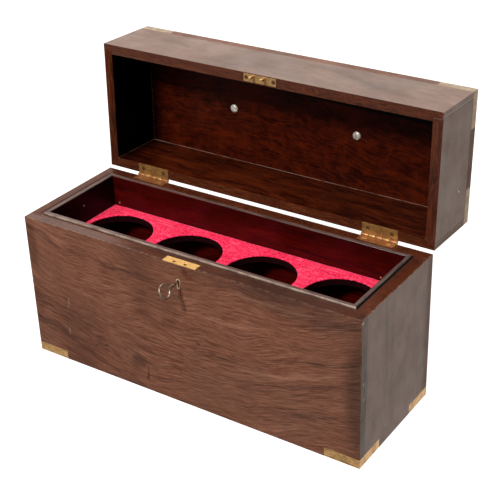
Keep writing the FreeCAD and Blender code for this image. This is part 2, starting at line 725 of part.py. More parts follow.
link_plate = block("link_plate_bar", ("-link_length / 2", "-%s + link_inset" % HALF_D, LID_LOW),
                   ("link_length / 2", "-%s + link_inset + link_width" % HALF_D, LID_LOW + " + plate_thick"))
STAPLE_LOW = LID_LOW + " - staple_drop"
STAPLE_HIGH = LID_LOW + " + staple_root"
staples, eyes = [], []
for place, side in (("left", -1), ("right", 1)):
    x = staple_x(side)
    staples.append(block("staple_" + place,
                         (x + " - staple_wide / 2", STAPLE_Y + " - staple_deep / 2", STAPLE_LOW),
                         (x + " + staple_wide / 2", STAPLE_Y + " + staple_deep / 2", STAPLE_HIGH)))
    eyes.append(block("staple_eye_" + place,
                      (x + " - staple_wide", STAPLE_Y + " - staple_eye_deep / 2", EYE_LOW),
                      (x + " + staple_wide", STAPLE_Y + " + staple_eye_deep / 2", EYE_HIGH)))
LINK_MIDDLE = "-%s + link_inset + link_width / 2" % HALF_D
link_screws = [screw("link_screw_" + place, (signed(side, "link_screw_offset"), LINK_MIDDLE, LID_LOW),
                     "+z", "screw_length")
               for place, side in (("left", -1), ("right", 1))]
link_holes = [whole for whole, slotted in link_screws]
lid_node("lid_link_plate", carve("link_plate_cut", join("link_plate_stock", [link_plate] + staples),
                                 eyes + link_holes))
lid_node("link_plate_screws", group("link_screw_set", [slotted for whole, slotted in link_screws]))

# ---------------------------------------------------------------- carrying handle on the lid

SLOT_LOW = LID_CEILING + " - handle_screw_dome"
SLOT_HIGH = LID_CEILING + " - handle_screw_dome / 2"
handle_holes = []
for place, side in (("left", -1), ("right", 1)):
    x = signed(side, "handle_spacing / 2")
    stem = rod("handle_stem_" + place, (x, "0", LID_CEILING), "+z", "handle_screw_radius",
               "lid_top + handle_screw_bite")
    head = taper("handle_head_" + place, (x, "0", LID_CEILING), "-z", "handle_screw_head",
                 "handle_screw_head - handle_screw_slope", "handle_screw_dome")
    slot = block("handle_slot_" + place, (x + " - handle_screw_slot / 2", "-handle_screw_head", SLOT_LOW),
                 (x + " + handle_screw_slot / 2", "handle_screw_head", SLOT_HIGH))
    handle_screw = join("handle_screw_stock_" + place, [stem, head])
    lid_node("handle_screw_" + place, carve("handle_screw_cut_" + place, handle_screw, [slot]))
    handle_holes.append(stem)
    rose = rod("handle_rose_disc_" + place, (x, "0", LID_HIGH), "+z", "rose_radius", "rose_thick")
    lid_node("handle_rose_" + place, carve("handle_rose_cut_" + place, rose, [stem]))
    boss = rod("post_boss_" + place, (x, "0", LID_HIGH + " + rose_thick"), "+z", "eye_radius",
               "pivot_height - rose_thick")
    eye = rod("post_eye_" + place, (x + " - eye_length / 2", "0", PIVOT_Z), "+x", "eye_radius", "eye_length")
    bore = rod("post_bore_" + place, (x + " - eye_length", "0", PIVOT_Z), "+x",
               "bail_pivot_radius + bail_play", "2 * eye_length")
    post = join("handle_post_stock_" + place, [boss, eye])
    lid_node("handle_post_" + place, carve("handle_post_cut_" + place, post, [bore, stem]))


def bend(name, x, y, radius, start):
    """A quarter bend of the bail's rod, its plane level, starting at the angle start."""
    ring = doc.addObject("Part::Torus", name)
    ring.Placement = FreeCAD.Placement(FreeCAD.Vector(), FreeCAD.Rotation(FreeCAD.Vector(0, 0, 1), start))
    bind(ring, Radius1=radius, Radius2="bail_rod")
    ring.Angle3 = 90
    put(ring, x, y, "0")
    return ring


# The bail is drawn lying flat, with its pivot line on X, and then hung on the posts.
ARM_X = "(handle_spacing / 2 + eye_length / 2 + bail_arm_gap + bail_elbow)"
GRIP_X = ARM_X + " - bail_bend"
bail_pieces = []
for place, side in (("left", -1), ("right", 1)):
    pivot_start = signed(side, "handle_spacing / 2 - eye_length / 2")
    way = "+x" if side > 0 else "-x"
    bail_pieces.append(rod("bail_pivot_" + place, (pivot_start, "0", "0"), way, "bail_pivot_radius",
                           "eye_length + bail_pivot_past"))
    bail_pieces.append(bend("bail_elbow_" + place, signed(side, ARM_X + " - bail_elbow"), "bail_elbow",
                            "bail_elbow", 270 if side > 0 else 180))
    bail_pieces.append(rod("bail_arm_" + place, (signed(side, ARM_X), "bail_elbow", "0"), "+y", "bail_rod",
                           "bail_drop - bail_elbow - bail_bend"))
    bail_pieces.append(bend("bail_corner_" + place, signed(side, GRIP_X), "bail_drop - bail_bend",
                            "bail_bend", 0 if side > 0 else 90))
    bail_pieces.append(rod("bail_bar_" + place, ("0", "bail_drop", "0"), way, "bail_rod", GRIP_X))
    bail_pieces.append(taper("bail_swell_" + place, ("0", "bail_drop", "0"), way, "bail_grip", "bail_rod",
                             GRIP_X + " - bail_swell_short"))
bail = node("handle_bail", join("handle_bail", bail_pieces))
pivot_z = size("base_height") + size("lid_gap") + size("lid_height") + size("pivot_height")
hang = FreeCAD.Placement(FreeCAD.Vector(0, 0, pivot_z),
                         FreeCAD.Rotation(FreeCAD.Vector(1, 0, 0), size("lid_open") - 90))
bail.Placement = open_lid().multiply(hang)

# ---------------------------------------------------------------- lid boards

front_stock = lapped_board("lid_front_stock", -1, "lid_wall", "lid_lap", LID_LOW, "lid_height - lid_top")
lid_node("lid_front_board", carve("lid_front_cut", front_stock,
                                  corner_metal(lid_straps, lid_pins, "front_left", "front_right")
                                  + [link_plate] + link_holes))
back_stock = lapped_board("lid_back_stock", 1, "lid_wall", "lid_lap", LID_LOW, "lid_height - lid_top")
back_metal = corner_metal(lid_straps, lid_pins, "back_left", "back_right")
lid_node("lid_back_board", carve("lid_back_cut", back_stock, back_metal + hinge_tools_lid))
for place, side in (("left", -1), ("right", 1)):
    stock = side_board("lid_%s_stock" % place, side, "lid_wall", "lid_lap", LID_LOW, LID_CEILING)
    metal = corner_metal(lid_straps, lid_pins, "front_" + place, "back_" + place)
    lid_node("lid_%s_board" % place, carve("lid_%s_cut" % place, stock, metal))
top_stock = block("lid_top_stock", ("-" + HALF_W, "-" + HALF_D, LID_CEILING), (HALF_W, HALF_D, LID_HIGH))
all_corners = [place for place, side, front in CORNERS]
lid_node("lid_top_board", carve("lid_top_cut", top_stock,
                                corner_metal(lid_straps, lid_pins, *all_corners) + handle_holes))

# ---------------------------------------------------------------- check and export

doc.recompute()
failed = [thing.Name for thing in doc.Objects if "Invalid" in thing.State or "Error" in thing.State]
if failed:
    raise RuntimeError("failed objects: " + ", ".join(failed))
os.makedirs("parts", exist_ok=True)
for name, thing in nodes.items():
    shape = thing.Shape
    if shape.isNull() or not shape.isValid() or not shape.Solids:
        raise RuntimeError("bad shape: " + name)
    if len(shape.Solids) == 1:
        shape = shape.Solids[0]
    shape.exportStep("parts/%s.step" % name)
    box = shape.BoundBox
    print("%-26s volume %9.1f  x %7.1f %7.1f  y %7.1f %7.1f  z %7.1f %7.1f" % (
        name, shape.Volume, box.XMin, box.XMax, box.YMin, box.YMax, box.ZMin, box.ZMax))
print(len(nodes), "nodes")
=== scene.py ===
import itertools
import json
import math

import bmesh
import bpy
from mathutils import Matrix, Vector, noise


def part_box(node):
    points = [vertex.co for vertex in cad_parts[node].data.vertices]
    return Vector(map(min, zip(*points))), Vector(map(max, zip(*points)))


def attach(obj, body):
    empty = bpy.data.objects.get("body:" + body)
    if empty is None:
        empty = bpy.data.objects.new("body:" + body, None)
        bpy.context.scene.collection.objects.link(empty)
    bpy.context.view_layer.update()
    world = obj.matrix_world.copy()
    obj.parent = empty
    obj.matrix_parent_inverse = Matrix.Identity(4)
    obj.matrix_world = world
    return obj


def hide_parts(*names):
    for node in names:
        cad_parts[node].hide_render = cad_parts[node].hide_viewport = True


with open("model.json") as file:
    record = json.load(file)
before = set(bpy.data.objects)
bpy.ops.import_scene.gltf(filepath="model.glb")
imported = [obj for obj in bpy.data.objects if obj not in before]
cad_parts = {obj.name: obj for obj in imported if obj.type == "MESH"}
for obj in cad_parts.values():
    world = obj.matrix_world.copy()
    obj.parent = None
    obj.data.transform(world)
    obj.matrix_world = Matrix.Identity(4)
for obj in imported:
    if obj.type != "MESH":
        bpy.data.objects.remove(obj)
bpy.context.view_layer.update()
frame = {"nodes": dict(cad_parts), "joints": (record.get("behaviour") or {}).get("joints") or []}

NODES = frame["nodes"]
MM = 0.001

# The lid's pieces are described in the frame of the shut lid, which then turns about the hinge line.
LID_TURN = math.radians(92)
HINGE = next(joint for joint in frame["joints"] if joint["name"] == "lid_hinge")
HINGE_LINE = Vector(HINGE["pos_m"])
LID_PLACE = (Matrix.Translation(HINGE_LINE) @ Matrix.Rotation(-LID_TURN, 4, "X")
             @ Matrix.Translation(-HINGE_LINE))

BASE_LOW, BASE_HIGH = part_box("base_front_board")
HALF_W = BASE_HIGH.x
HALF_D = -BASE_LOW.y
BASE_WALL = 16 * MM
BASE_LAP = HALF_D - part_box("base_right_board")[1].y
RIM = BASE_HIGH.z
LID_RIM = RIM + 0.6 * MM
LID_WALL = 12 * MM
LID_LAP = LID_WALL - 4 * MM
LID_HIGH = LID_RIM + 88 * MM
LID_CEILING = LID_HIGH - LID_WALL
LINING_Y = 64.6 * MM
STRAP_HIGH = 11.5 * MM
CRISP = math.radians(38)


# ---------------------------------------------------------------- node building

class Graph:
    """The nodes of one material, or of the world."""

    def __init__(self, owner):
        owner.use_nodes = True
        self.owner = owner
        self.tree = owner.node_tree
        self.tree.nodes.clear()

    def plug(self, socket, value):
        if isinstance(value, bpy.types.NodeSocket):
            self.tree.links.new(value, socket)
        elif isinstance(value, tuple) and len(value) == 3 and socket.type == "RGBA":
            socket.default_value = (*value, 1)
        else:
            socket.default_value = value

    def node(self, kind, *values, **named):
        """A new node with its first inputs, and then its named ones, set or linked."""
        made = self.tree.nodes.new("ShaderNode" + kind)
        for socket, value in zip(made.inputs, values):
            self.plug(socket, value)
        for name, value in named.items():
            self.plug(made.inputs[name.replace("_", " ")], value)
        return made

    def math(self, operation, *values):
        made = self.node("Math", *values)
        made.operation = operation
        return made.outputs[0]

    def add(self, first, *others):
        for value in others:
            first = self.math("ADD", first, value)
        return first

    def times(self, first, *others):
        for value in others:
            first = self.math("MULTIPLY", first, value)
        return first

    def minus(self, a, b):
        return self.math("SUBTRACT", a, b)

    def size(self, value):
        return self.math("ABSOLUTE", value)

    def greatest(self, a, b):
        return self.math("MAXIMUM", a, b)

    def place(self, lid=False):
        """The point's coordinates in the shared frame, with the lid's turned back shut."""
        where = self.node("TexCoord").outputs["Object"]
        if not lid:
            return where
        turn = self.node("VectorRotate", Vector=where, Center=tuple(HINGE_LINE), Angle=LID_TURN)
        turn.rotation_type = "X_AXIS"
        return turn.outputs[0]

    def split(self, vector):
        return tuple(self.node("SeparateXYZ", vector).outputs)

    def vector(self, x, y, z):
        return self.node("CombineXYZ", x, y, z).outputs[0]

    def stretched(self, place, x, y, z):
        """A place with each of its coordinates multiplied by its own factor."""
        return self.vector(*(self.times(part, factor) for part, factor in zip(place, (x, y, z))))

    def noise(self, where, scale=1.0, detail=3.0, rough=0.55, distortion=0.0):
        return self.node("TexNoise", Vector=where, Scale=scale, Detail=detail, Roughness=rough,
                         Distortion=distortion).outputs[0]

    def remap(self, value, low, high, to_low=0.0, to_high=1.0):
        made = self.node("MapRange", value, low, high, to_low, to_high)
        made.interpolation_type = "SMOOTHSTEP"
        return made.outputs[0]

    def line(self, value, at, reach, core):
        """1 where a value is within core of a number, fading to 0 at reach from it."""
        return self.remap(self.size(self.minus(value, at)), reach, core)

    def blend(self, factor, a, b):
        made = self.node("Mix", factor)
        made.data_type = "RGBA"
        made.clamp_factor = True
        self.plug(made.inputs[6], a)
        self.plug(made.inputs[7], b)
        return made.outputs[2]

    def ramp(self, factor, *stops):
        made = self.node("ValToRGB", factor)
        elements = made.color_ramp.elements
        while len(elements) < len(stops):
            elements.new(0.5)
        for element, (position, colour) in zip(elements, stops):
            element.position = position
            element.color = (*colour, 1)
        return made.outputs[0]

    def bump(self, height, distance, strength, normal=None):
        made = self.node("Bump", Strength=strength, Distance=distance, Height=height)
        if normal is not None:
            self.plug(made.inputs["Normal"], normal)
        return made.outputs[0]

    def spot(self, x, z, at, radius):
        """1 inside a soft ellipse of a board's face, 0 outside it."""
        across = self.times(self.minus(x, at[0]), 1 / radius[0])
        along = self.times(self.minus(z, at[1]), 1 / radius[1])
        distance = self.math("SQRT", self.add(self.times(across, across), self.times(along, along)))
        return self.remap(distance, 1.0, 0.35)

    def finish(self, **sockets):
        self.node("OutputMaterial", self.node("BsdfPrincipled", **sockets).outputs[0])
        return self.owner


def material_graph(name):
    return Graph(bpy.data.materials.new(name))


# ---------------------------------------------------------------- woods

# The dark, middle and light tones of each wood.
OUTSIDE = ((0.040, 0.013, 0.008), (0.168, 0.060, 0.034), (0.345, 0.160, 0.100))
SIDE = ((0.060, 0.029, 0.018), (0.112, 0.055, 0.035), (0.165, 0.090, 0.060))
RIM_TONE = ((0.020, 0.004, 0.002), (0.066, 0.014, 0.005), (0.130, 0.036, 0.012))
INSIDE = ((0.006, 0.0008, 0.0004), (0.030, 0.0030, 0.0008), (0.085, 0.0100, 0.0016))
INSIDE_BACK = ((0.006, 0.0010, 0.0005), (0.022, 0.0026, 0.0008), (0.110, 0.0170, 0.0035))
# Painted shade: a near-black copy of the inside tones, for the unlit left end of the lid's hollow and its
# blackest part by the front.
INSIDE_PAINTED_SHADE = ((0.0006, 0.0003, 0.0003), (0.0015, 0.0006, 0.0004), (0.004, 0.001, 0.0006))
LINING = ((0.009, 0.0004, 0.0003), (0.044, 0.0012, 0.0007), (0.095, 0.0035, 0.0018))
# Painted shade: a near-black copy of the lining tones, for the unlit end linings.
LINING_PAINTED_SHADE = ((0.002, 0.0003, 0.0002), (0.005, 0.0006, 0.0005), (0.012, 0.001, 0.0008))
UPPER = ((0.066, 0.028, 0.018), (0.140, 0.062, 0.040), (0.215, 0.112, 0.077))
DEAL = ((0.005, 0.0015, 0.001), (0.016, 0.004, 0.002), (0.034, 0.009, 0.004))
# What the woods are tinted with.
HAZE = (0.120, 0.066, 0.046)
SHADED = (0.048, 0.019, 0.012)
FLECKED = (0.022, 0.008, 0.006)
RUBBED = (0.250, 0.150, 0.100)
BRUISED = (0.020, 0.009, 0.007)
JOINT = (0.010, 0.005, 0.004)
JOINT_LIP = (0.260, 0.180, 0.135)
GLUE = (0.230, 0.130, 0.095)
# Painted shadow in the gap by the linings, and the dark of the left rim's split.
GAP_SHADOW_AND_SPLIT = (0.004, 0.002, 0.001)
# Painted highlight along the linings' rounded tops.
LINING_TOP_HIGHLIGHT = (0.170, 0.115, 0.100)
# Pale outer arris of the front and back linings: rubbed wear and a painted highlight.
LINING_ARRIS_WEAR_AND_HIGHLIGHT = (0.440, 0.330, 0.260)

# Which coordinates run along, across and into a board, by the way its grain runs.
GRAIN_WAYS = {"x": (0, 2, 1), "flat": (0, 1, 2), "y": (1, 2, 0), "z": (2, 1, 0)}


def grain(g, place, axis, sweep=(0.0, 0.0), swirl=0.010):
    """A board's figure: its bands, fibres and pores."""
    along, across, deep = (place[i] for i in GRAIN_WAYS[axis])
    slow = g.noise(g.stretched((along, across, deep), 7, 11, 11), 1, 2, 0.5)
    bow = g.add(g.times(along, sweep[0]), g.times(along, along, sweep[1]))
    wave = g.times(g.minus(slow, 0.5), swirl * 4)
    warped = (along, g.add(across, bow, wave), deep)
    band = g.noise(g.stretched(warped, 5, 75, 60), 1, 5, 0.62, 0.25)
    fibre = g.noise(g.stretched(warped, 42, 680, 680), 1, 5, 0.72)
    pore = g.noise(g.stretched(warped, 170, 1900, 1900), 1, 2, 0.5)
    return band, fibre, pore


def wood_colour(g, figure, tones, contrast=0.55):
    band, fibre, pore = figure
    dark, mid, light = tones
    colour = g.ramp(g.remap(band, 0.24, 0.80), (0.0, dark), (0.36, mid), (0.66, mid), (1.0, light))
    colour = g.blend(g.remap(fibre, 0.44, 0.68, 0, contrast), colour, light)
    colour = g.blend(g.remap(fibre, 0.54, 0.34, 0, contrast), colour, dark)
    return g.blend(g.remap(pore, 0.36, 0.26, 0, 0.75), colour, tuple(0.4 * part for part in dark))


def old_polish(g, point, place, colour):
    """Grey haze in clouds, broad darker patches and small flecks; also gives haze and flecks."""
    haze = g.remap(g.noise(point, 9, 3, 0.6), 0.40, 0.72)
    colour = g.blend(g.times(haze, 0.26), colour, HAZE)
    shaded = g.noise(g.stretched(place, 1.6, 1.6, 1.1), 5, 2, 0.5)
    colour = g.blend(g.remap(shaded, 0.50, 0.30, 0, 0.45), colour, SHADED)
    fleck = g.noise(g.stretched(place, 210, 210, 210), 1, 2, 0.5)
    colour = g.blend(g.remap(fleck, 0.70, 0.78, 0, 0.5), colour, FLECKED)
    return colour, haze, fleck


def lid_inside(g, place, figure, tones, is_top):
    """Where the lid is hollow, and its dark mottled colour there, with painted shade by the front and the
    left end.
    """
    x, y, z = place
    wall = LID_WALL + 0.3 * MM
    deep_x = g.remap(g.size(x), HALF_W - wall + 0.6 * MM, HALF_W - wall + 0.3 * MM)
    deep_y = g.remap(g.size(y), HALF_D - wall + 0.6 * MM, HALF_D - wall + 0.3 * MM)
    deep_z = g.remap(z, LID_CEILING + 0.6 * MM, LID_CEILING + 0.3 * MM)
    mask = g.times(deep_x, deep_y, deep_z, g.remap(z, LID_RIM + 0.2 * MM, LID_RIM + 0.6 * MM))
    colour = wood_colour(g, figure, tones)
    mottle = g.noise(g.stretched(place, 75 if is_top else 14, 90, 90), 1, 5, 0.70, 0.5)
    flame = g.noise(g.stretched(place, 14, 22, 22), 1, 3, 0.6, 0.4)
    colour = g.blend(g.remap(mottle, 0.48, 0.66, 0, 0.45), colour, tones[2])
    colour = g.blend(g.remap(mottle, 0.48, 0.34, 0, 0.45), colour, tones[0])
    colour = g.blend(g.remap(flame, 0.54, 0.68, 0, 0.55 if is_top else 0.25), colour, tones[2])
    # Painted shade: the hollow is blackest by the front, in the front board's shadow, and by the unlit left
    # end.
    front, left = LID_WALL - HALF_D, LID_WALL - HALF_W
    front_shade = g.remap(g.add(y, g.times(x, -0.02)), front + 35 * MM, front + 32 * MM)
    left_shade = g.remap(x, left + 30 * MM, left, 0, 0.85)
    return mask, g.blend(g.greatest(g.times(front_shade, 0.97), left_shade), colour, INSIDE_PAINTED_SHADE[0])


def glue_lines(g, place, colour):
    """Old glue shows as a pale line where the lid's top meets the back and the ends."""
    x, y, z = place
    by_back = g.line(y, HALF_D - LID_WALL, 0.75 * MM, 0.35 * MM)
    by_end = g.line(g.size(x), HALF_W - LID_WALL, 0.60 * MM, 0.25 * MM)
    by_top = g.line(z, LID_CEILING, 0.75 * MM, 0.35 * MM)
    glue = g.add(g.times(by_back, by_top), g.times(by_end, by_top, 0.35),
                 g.times(by_end, by_back, 0.7))
    patchy = g.remap(g.noise(g.stretched(place, 70, 70, 70), 1, 3, 0.6), 0.36, 0.58, 0.35, 0.9)
    return g.blend(g.times(glue, patchy), colour, GLUE)


def wear(g, place, colour, lid, ragged):
    """Edges rubbed lighter, and dark bruises near the ends; also gives where it is rubbed."""
    x, y, z = place
    near_x = g.remap(g.size(x), HALF_W - 2.2 * MM, HALF_W - 0.2 * MM)
    near_y = g.remap(g.size(y), HALF_D - 2.2 * MM, HALF_D - 0.2 * MM)
    level = g.remap(z, LID_HIGH - 1.6 * MM, LID_HIGH - 0.2 * MM) if lid else g.remap(z, RIM - 1.6 * MM, RIM)
    edges = g.greatest(g.times(near_x, near_y), g.times(g.greatest(near_x, near_y), level))
    worn = g.times(edges, g.remap(ragged, 0.40, 0.62))
    colour = g.blend(g.times(worn, 0.62), colour, RUBBED)
    bruise = g.times(g.remap(g.size(x), HALF_W - 11 * MM, HALF_W - 1 * MM), g.remap(ragged, 0.58, 0.68))
    return g.blend(g.times(bruise, 0.55), colour, BRUISED), worn


def lap_joints(g, y, colour, ends, lid, ragged):
    """The front and back boards lap over the end boards: a dark line with a worn pale lip."""
    across = g.minus(g.size(y), HALF_D - (LID_LAP if lid else BASE_LAP))
    on_end = g.times(ends, g.remap(ragged, 0.30, 0.46, 0.45, 1.0))
    dark = g.times(g.remap(g.size(across), 0.90 * MM, 0.50 * MM), on_end)
    pale = g.times(g.line(across, 1.5 * MM, 0.9 * MM, 0.4 * MM), on_end)
    colour = g.blend(g.times(dark, 0.90), colour, JOINT)
    return g.blend(g.times(pale, 0.55), colour, JOINT_LIP)


def rim_gap_shadow_and_split(g, x, y, rim):
    """Painted shadow in the gap by the linings at both ends of the base's rim, and a dark split in the left
    rim.
    """
    gap = g.minus(g.size(x), HALF_W - BASE_WALL)
    within = g.remap(g.size(y), HALF_D - BASE_WALL + 1 * MM, HALF_D - BASE_WALL)
    split = g.times(g.line(gap, 4.9 * MM, 0.9 * MM, 0.5 * MM), g.math("LESS_THAN", x, 0.0))
    return g.times(g.greatest(g.remap(gap, 1.3 * MM, 0.8 * MM), split), within, rim)


def shell_wood(name, axis, lid, sweep, swirl, marks=(), seed=0.0, tones=OUTSIDE, inside=INSIDE,
               specular=0.5, contrast=0.55):
    """Rosewood for an outer board: hazed outside, redder on its rim and dark inside."""
    g = material_graph(name)
    point = g.place(lid)
    x, y, z = place = g.split(point)
    shifted = (g.add(x, seed), g.add(y, seed * 0.7), g.add(z, seed * 1.3))
    figure = _, fibre, pore = grain(g, shifted, axis, sweep, swirl)
    colour, haze, fleck = old_polish(g, point, place, wood_colour(g, figure, tones, contrast))
    rim = (g.remap(z, LID_RIM + 1.1 * MM, LID_RIM + 0.2 * MM) if lid
           else g.remap(z, RIM - 0.5 * MM, RIM - 0.1 * MM))
    colour = g.blend(rim, colour, wood_colour(g, figure, RIM_TONE))
    hollow = 0.0
    if lid:
        hollow, inner = lid_inside(g, place, figure, inside, axis == "flat")
        colour = glue_lines(g, place, g.blend(hollow, colour, inner))
    ends = g.remap(g.size(x), HALF_W - 0.9 * MM, HALF_W - 0.5 * MM)
    if tones is not SIDE:
        colour = g.blend(g.times(ends, g.minus(1.0, rim)), colour, wood_colour(g, figure, SIDE, 0.30))
    ragged = g.noise(g.stretched(place, 160, 160, 90), 1, 4, 0.7)
    colour, worn = wear(g, place, colour, lid, ragged)
    colour = lap_joints(g, y, colour, ends, lid, ragged)
    # Painted shadow in the gap by the linings, and the left rim's dark split; the same mask roughens and
    # sinks them.
    gap_shadow_and_split = 0.0
    if not lid:
        gap_shadow_and_split = rim_gap_shadow_and_split(g, x, y, rim)
        colour = g.blend(g.times(gap_shadow_and_split, 0.95), colour, GAP_SHADOW_AND_SPLIT)
    colour = board_marks(g, x if axis == "x" else y, z, colour, marks)
    if marks is FRONT_MARKS:
        colour = board_marks(g, y, z, colour, CORNER_MARKS,
                             g.times(ends, g.math("GREATER_THAN", x, 0.0)))

    polish = g.remap(g.noise(point, 26, 4, 0.6), 0.3, 0.7, 0.34, 0.46)
    rough = g.add(polish, g.times(haze, 0.06), g.times(worn, 0.12), g.times(gap_shadow_and_split, 0.50))
    rough = g.minus(rough, g.times(g.greatest(rim, hollow), 0.10))
    relief = g.add(g.times(gap_shadow_and_split, -4.0), g.times(fibre, 0.5), g.remap(pore, 0.24, 0.40, 0, 0.8),
                   g.times(fleck, 0.2))
    normal = g.bump(g.noise(point, 14, 2, 0.5), 1.0 * MM, 0.15)
    normal = g.bump(relief, 0.10 * MM, 0.4, normal)
    return g.finish(Base_Color=colour, Roughness=rough, Normal=normal, IOR=1.47,
                    Specular_IOR_Level=specular)


# Marks on a board: (along, z), (half-width, half-height), colour and strength.
PALE = (0.30, 0.20, 0.14)
BLACKENED = (0.018, 0.010, 0.008)
REPAIR = (0.115, 0.030, 0.012)
FRONT_MARKS = [
    ((-0.1734, 0.0870), (0.0009, 0.0085), PALE, 0.75),
    ((-0.1755, 0.0790), (0.0007, 0.0040), PALE, 0.55),
    ((-0.1773, 0.0437), (0.0010, 0.0080), PALE, 0.65),
    ((-0.1790, 0.0520), (0.0007, 0.0060), BLACKENED, 0.55),
    ((-0.0556, 0.0250), (0.0009, 0.0140), BLACKENED, 0.90),
    ((-0.0575, 0.0180), (0.0022, 0.0045), BLACKENED, 0.70),
    ((-0.0681, 0.0386), (0.0160, 0.0120), BLACKENED, 0.38),
    ((-0.0760, 0.0300), (0.0090, 0.0150), BLACKENED, 0.26),
    ((-0.1184, 0.0429), (0.0040, 0.0020), BLACKENED, 0.75),
    ((-0.1347, 0.0374), (0.0035, 0.0017), BLACKENED, 0.60),
    ((0.0202, 0.0910), (0.0042, 0.0022), BLACKENED, 0.65),
    ((0.0682, 0.0913), (0.0038, 0.0018), BLACKENED, 0.50),
    ((0.0070, 0.1800), (0.0060, 0.0070), REPAIR, 0.95),
    ((0.0130, 0.1750), (0.0080, 0.0050), REPAIR, 0.75),
    ((0.0230, 0.1560), (0.0110, 0.0050), (0.21, 0.085, 0.05), 0.45),
    ((-0.0090, 0.1450), (0.0130, 0.0045), BLACKENED, 0.35),
    ((0.2320, 0.0950), (0.0300, 0.1350), BLACKENED, 0.55),
    ((0.1500, 0.1800), (0.1000, 0.0260), BLACKENED, 0.42),
    ((0.0600, 0.1870), (0.1200, 0.0180), BLACKENED, 0.30),
    ((-0.2240, 0.1500), (0.0120, 0.0450), BLACKENED, 0.35),
]
# Dents in the front board's right end, measured along y.
CORNER_MARKS = [
    ((-0.0725, 0.1180), (0.0020, 0.0100), BLACKENED, 0.90),
    ((-0.0735, 0.0980), (0.0024, 0.0070), BLACKENED, 0.90),
    ((-0.0720, 0.0790), (0.0022, 0.0120), BLACKENED, 0.85),
    ((-0.0745, 0.0600), (0.0016, 0.0060), BLACKENED, 0.70),
    ((-0.0755, 0.1080), (0.0014, 0.0032), PALE, 0.90),
    ((-0.0750, 0.0880), (0.0012, 0.0028), PALE, 0.80),
    ((-0.0790, 0.1850), (0.0030, 0.0022), (0.42, 0.32, 0.25), 0.80),
    ((-0.0740, 0.1820), (0.0030, 0.0040), BLACKENED, 0.70),
]
RIGHT_MARKS = [
    ((-0.0680, 0.1000), (0.0025, 0.0350), BLACKENED, 0.45),
    ((0.0100, 0.0600), (0.0280, 0.0400), BLACKENED, 0.14),
    ((0.0665, 0.1000), (0.0060, 0.0900), BLACKENED, 0.35),
]
CHIP = LID_PLACE.inverted() @ Vector((0.230, 0.1400, 0.2425))
LID_RIGHT_MARKS = [
    ((CHIP.y, CHIP.z), (0.0065, 0.0050), BLACKENED, 0.85),
    ((CHIP.y + 0.0015, CHIP.z + 0.0010), (0.0022, 0.0018), (0.55, 0.50, 0.44), 0.95),
    ((CHIP.y - 0.0030, CHIP.z - 0.0020), (0.0010, 0.0016), (0.45, 0.40, 0.34), 0.85),
]


def board_marks(g, along, z, colour, marks, where=1.0):
    for at, radius, tone, strength in marks:
        colour = g.blend(g.times(g.spot(along, z, at, radius), strength, where), colour, tone)
    return colour


def polished_wood(name, axis, tones, gloss, specular, seed=0.0):
    """A smoothly polished inner wood: linings, rack, partitions, floor."""
    g = material_graph(name)
    point = g.place()
    x, y, z = shifted = tuple([g.add(part, seed) for part in g.split(point)])
    rim = RIM + seed
    figure = _, fibre, pore = grain(g, shifted, axis, swirl=0.004)
    colour = wood_colour(g, figure, tones)
    # Painted shade: darker towards the top.
    colour = g.blend(g.remap(z, rim - 26 * MM, rim - 4 * MM, 0, 0.45), colour, tones[0])
    # Painted highlight along the linings' rounded tops, broken up by the fibres.
    top = g.remap(z, rim + 1.6 * MM, rim + 2.5 * MM)
    colour = g.blend(g.times(top, g.remap(fibre, 0.35, 0.65, 0.25, 0.80)), colour, LINING_TOP_HIGHLIGHT)
    # The front and back linings' outer arris: rubbed pale in patches, and a painted highlight.
    if axis == "x":
        arris = g.remap(g.size(y), LINING_Y - 1.2 * MM, LINING_Y - 0.7 * MM)
        rubbed = g.remap(g.noise(g.vector(g.times(x, 40), 0.0, 0.0), 1, 3, 0.6), 0.34, 0.60, 0.20, 0.62)
        proud = g.remap(z, rim - 0.3 * MM, rim + 0.4 * MM)
        colour = g.blend(g.times(arris, proud, rubbed), colour, LINING_ARRIS_WEAR_AND_HIGHLIGHT)
    rough = g.remap(g.noise(point, 30, 4, 0.6), 0.3, 0.7, gloss, gloss + 0.12)
    normal = g.bump(g.noise(point, 20, 2, 0.5), 0.6 * MM, 0.35)
    relief = g.add(g.times(fibre, 0.5), g.remap(pore, 0.24, 0.40, 0, 0.8))
    normal = g.bump(relief, 0.08 * MM, 0.35, normal)
    return g.finish(Base_Color=colour, Roughness=rough, Normal=normal, IOR=1.5,
                    Specular_IOR_Level=specular)


# ---------------------------------------------------------------- metals

STROKES = {"x": (90, 2600, 2600), "round": (1400, 1400, 1400)}


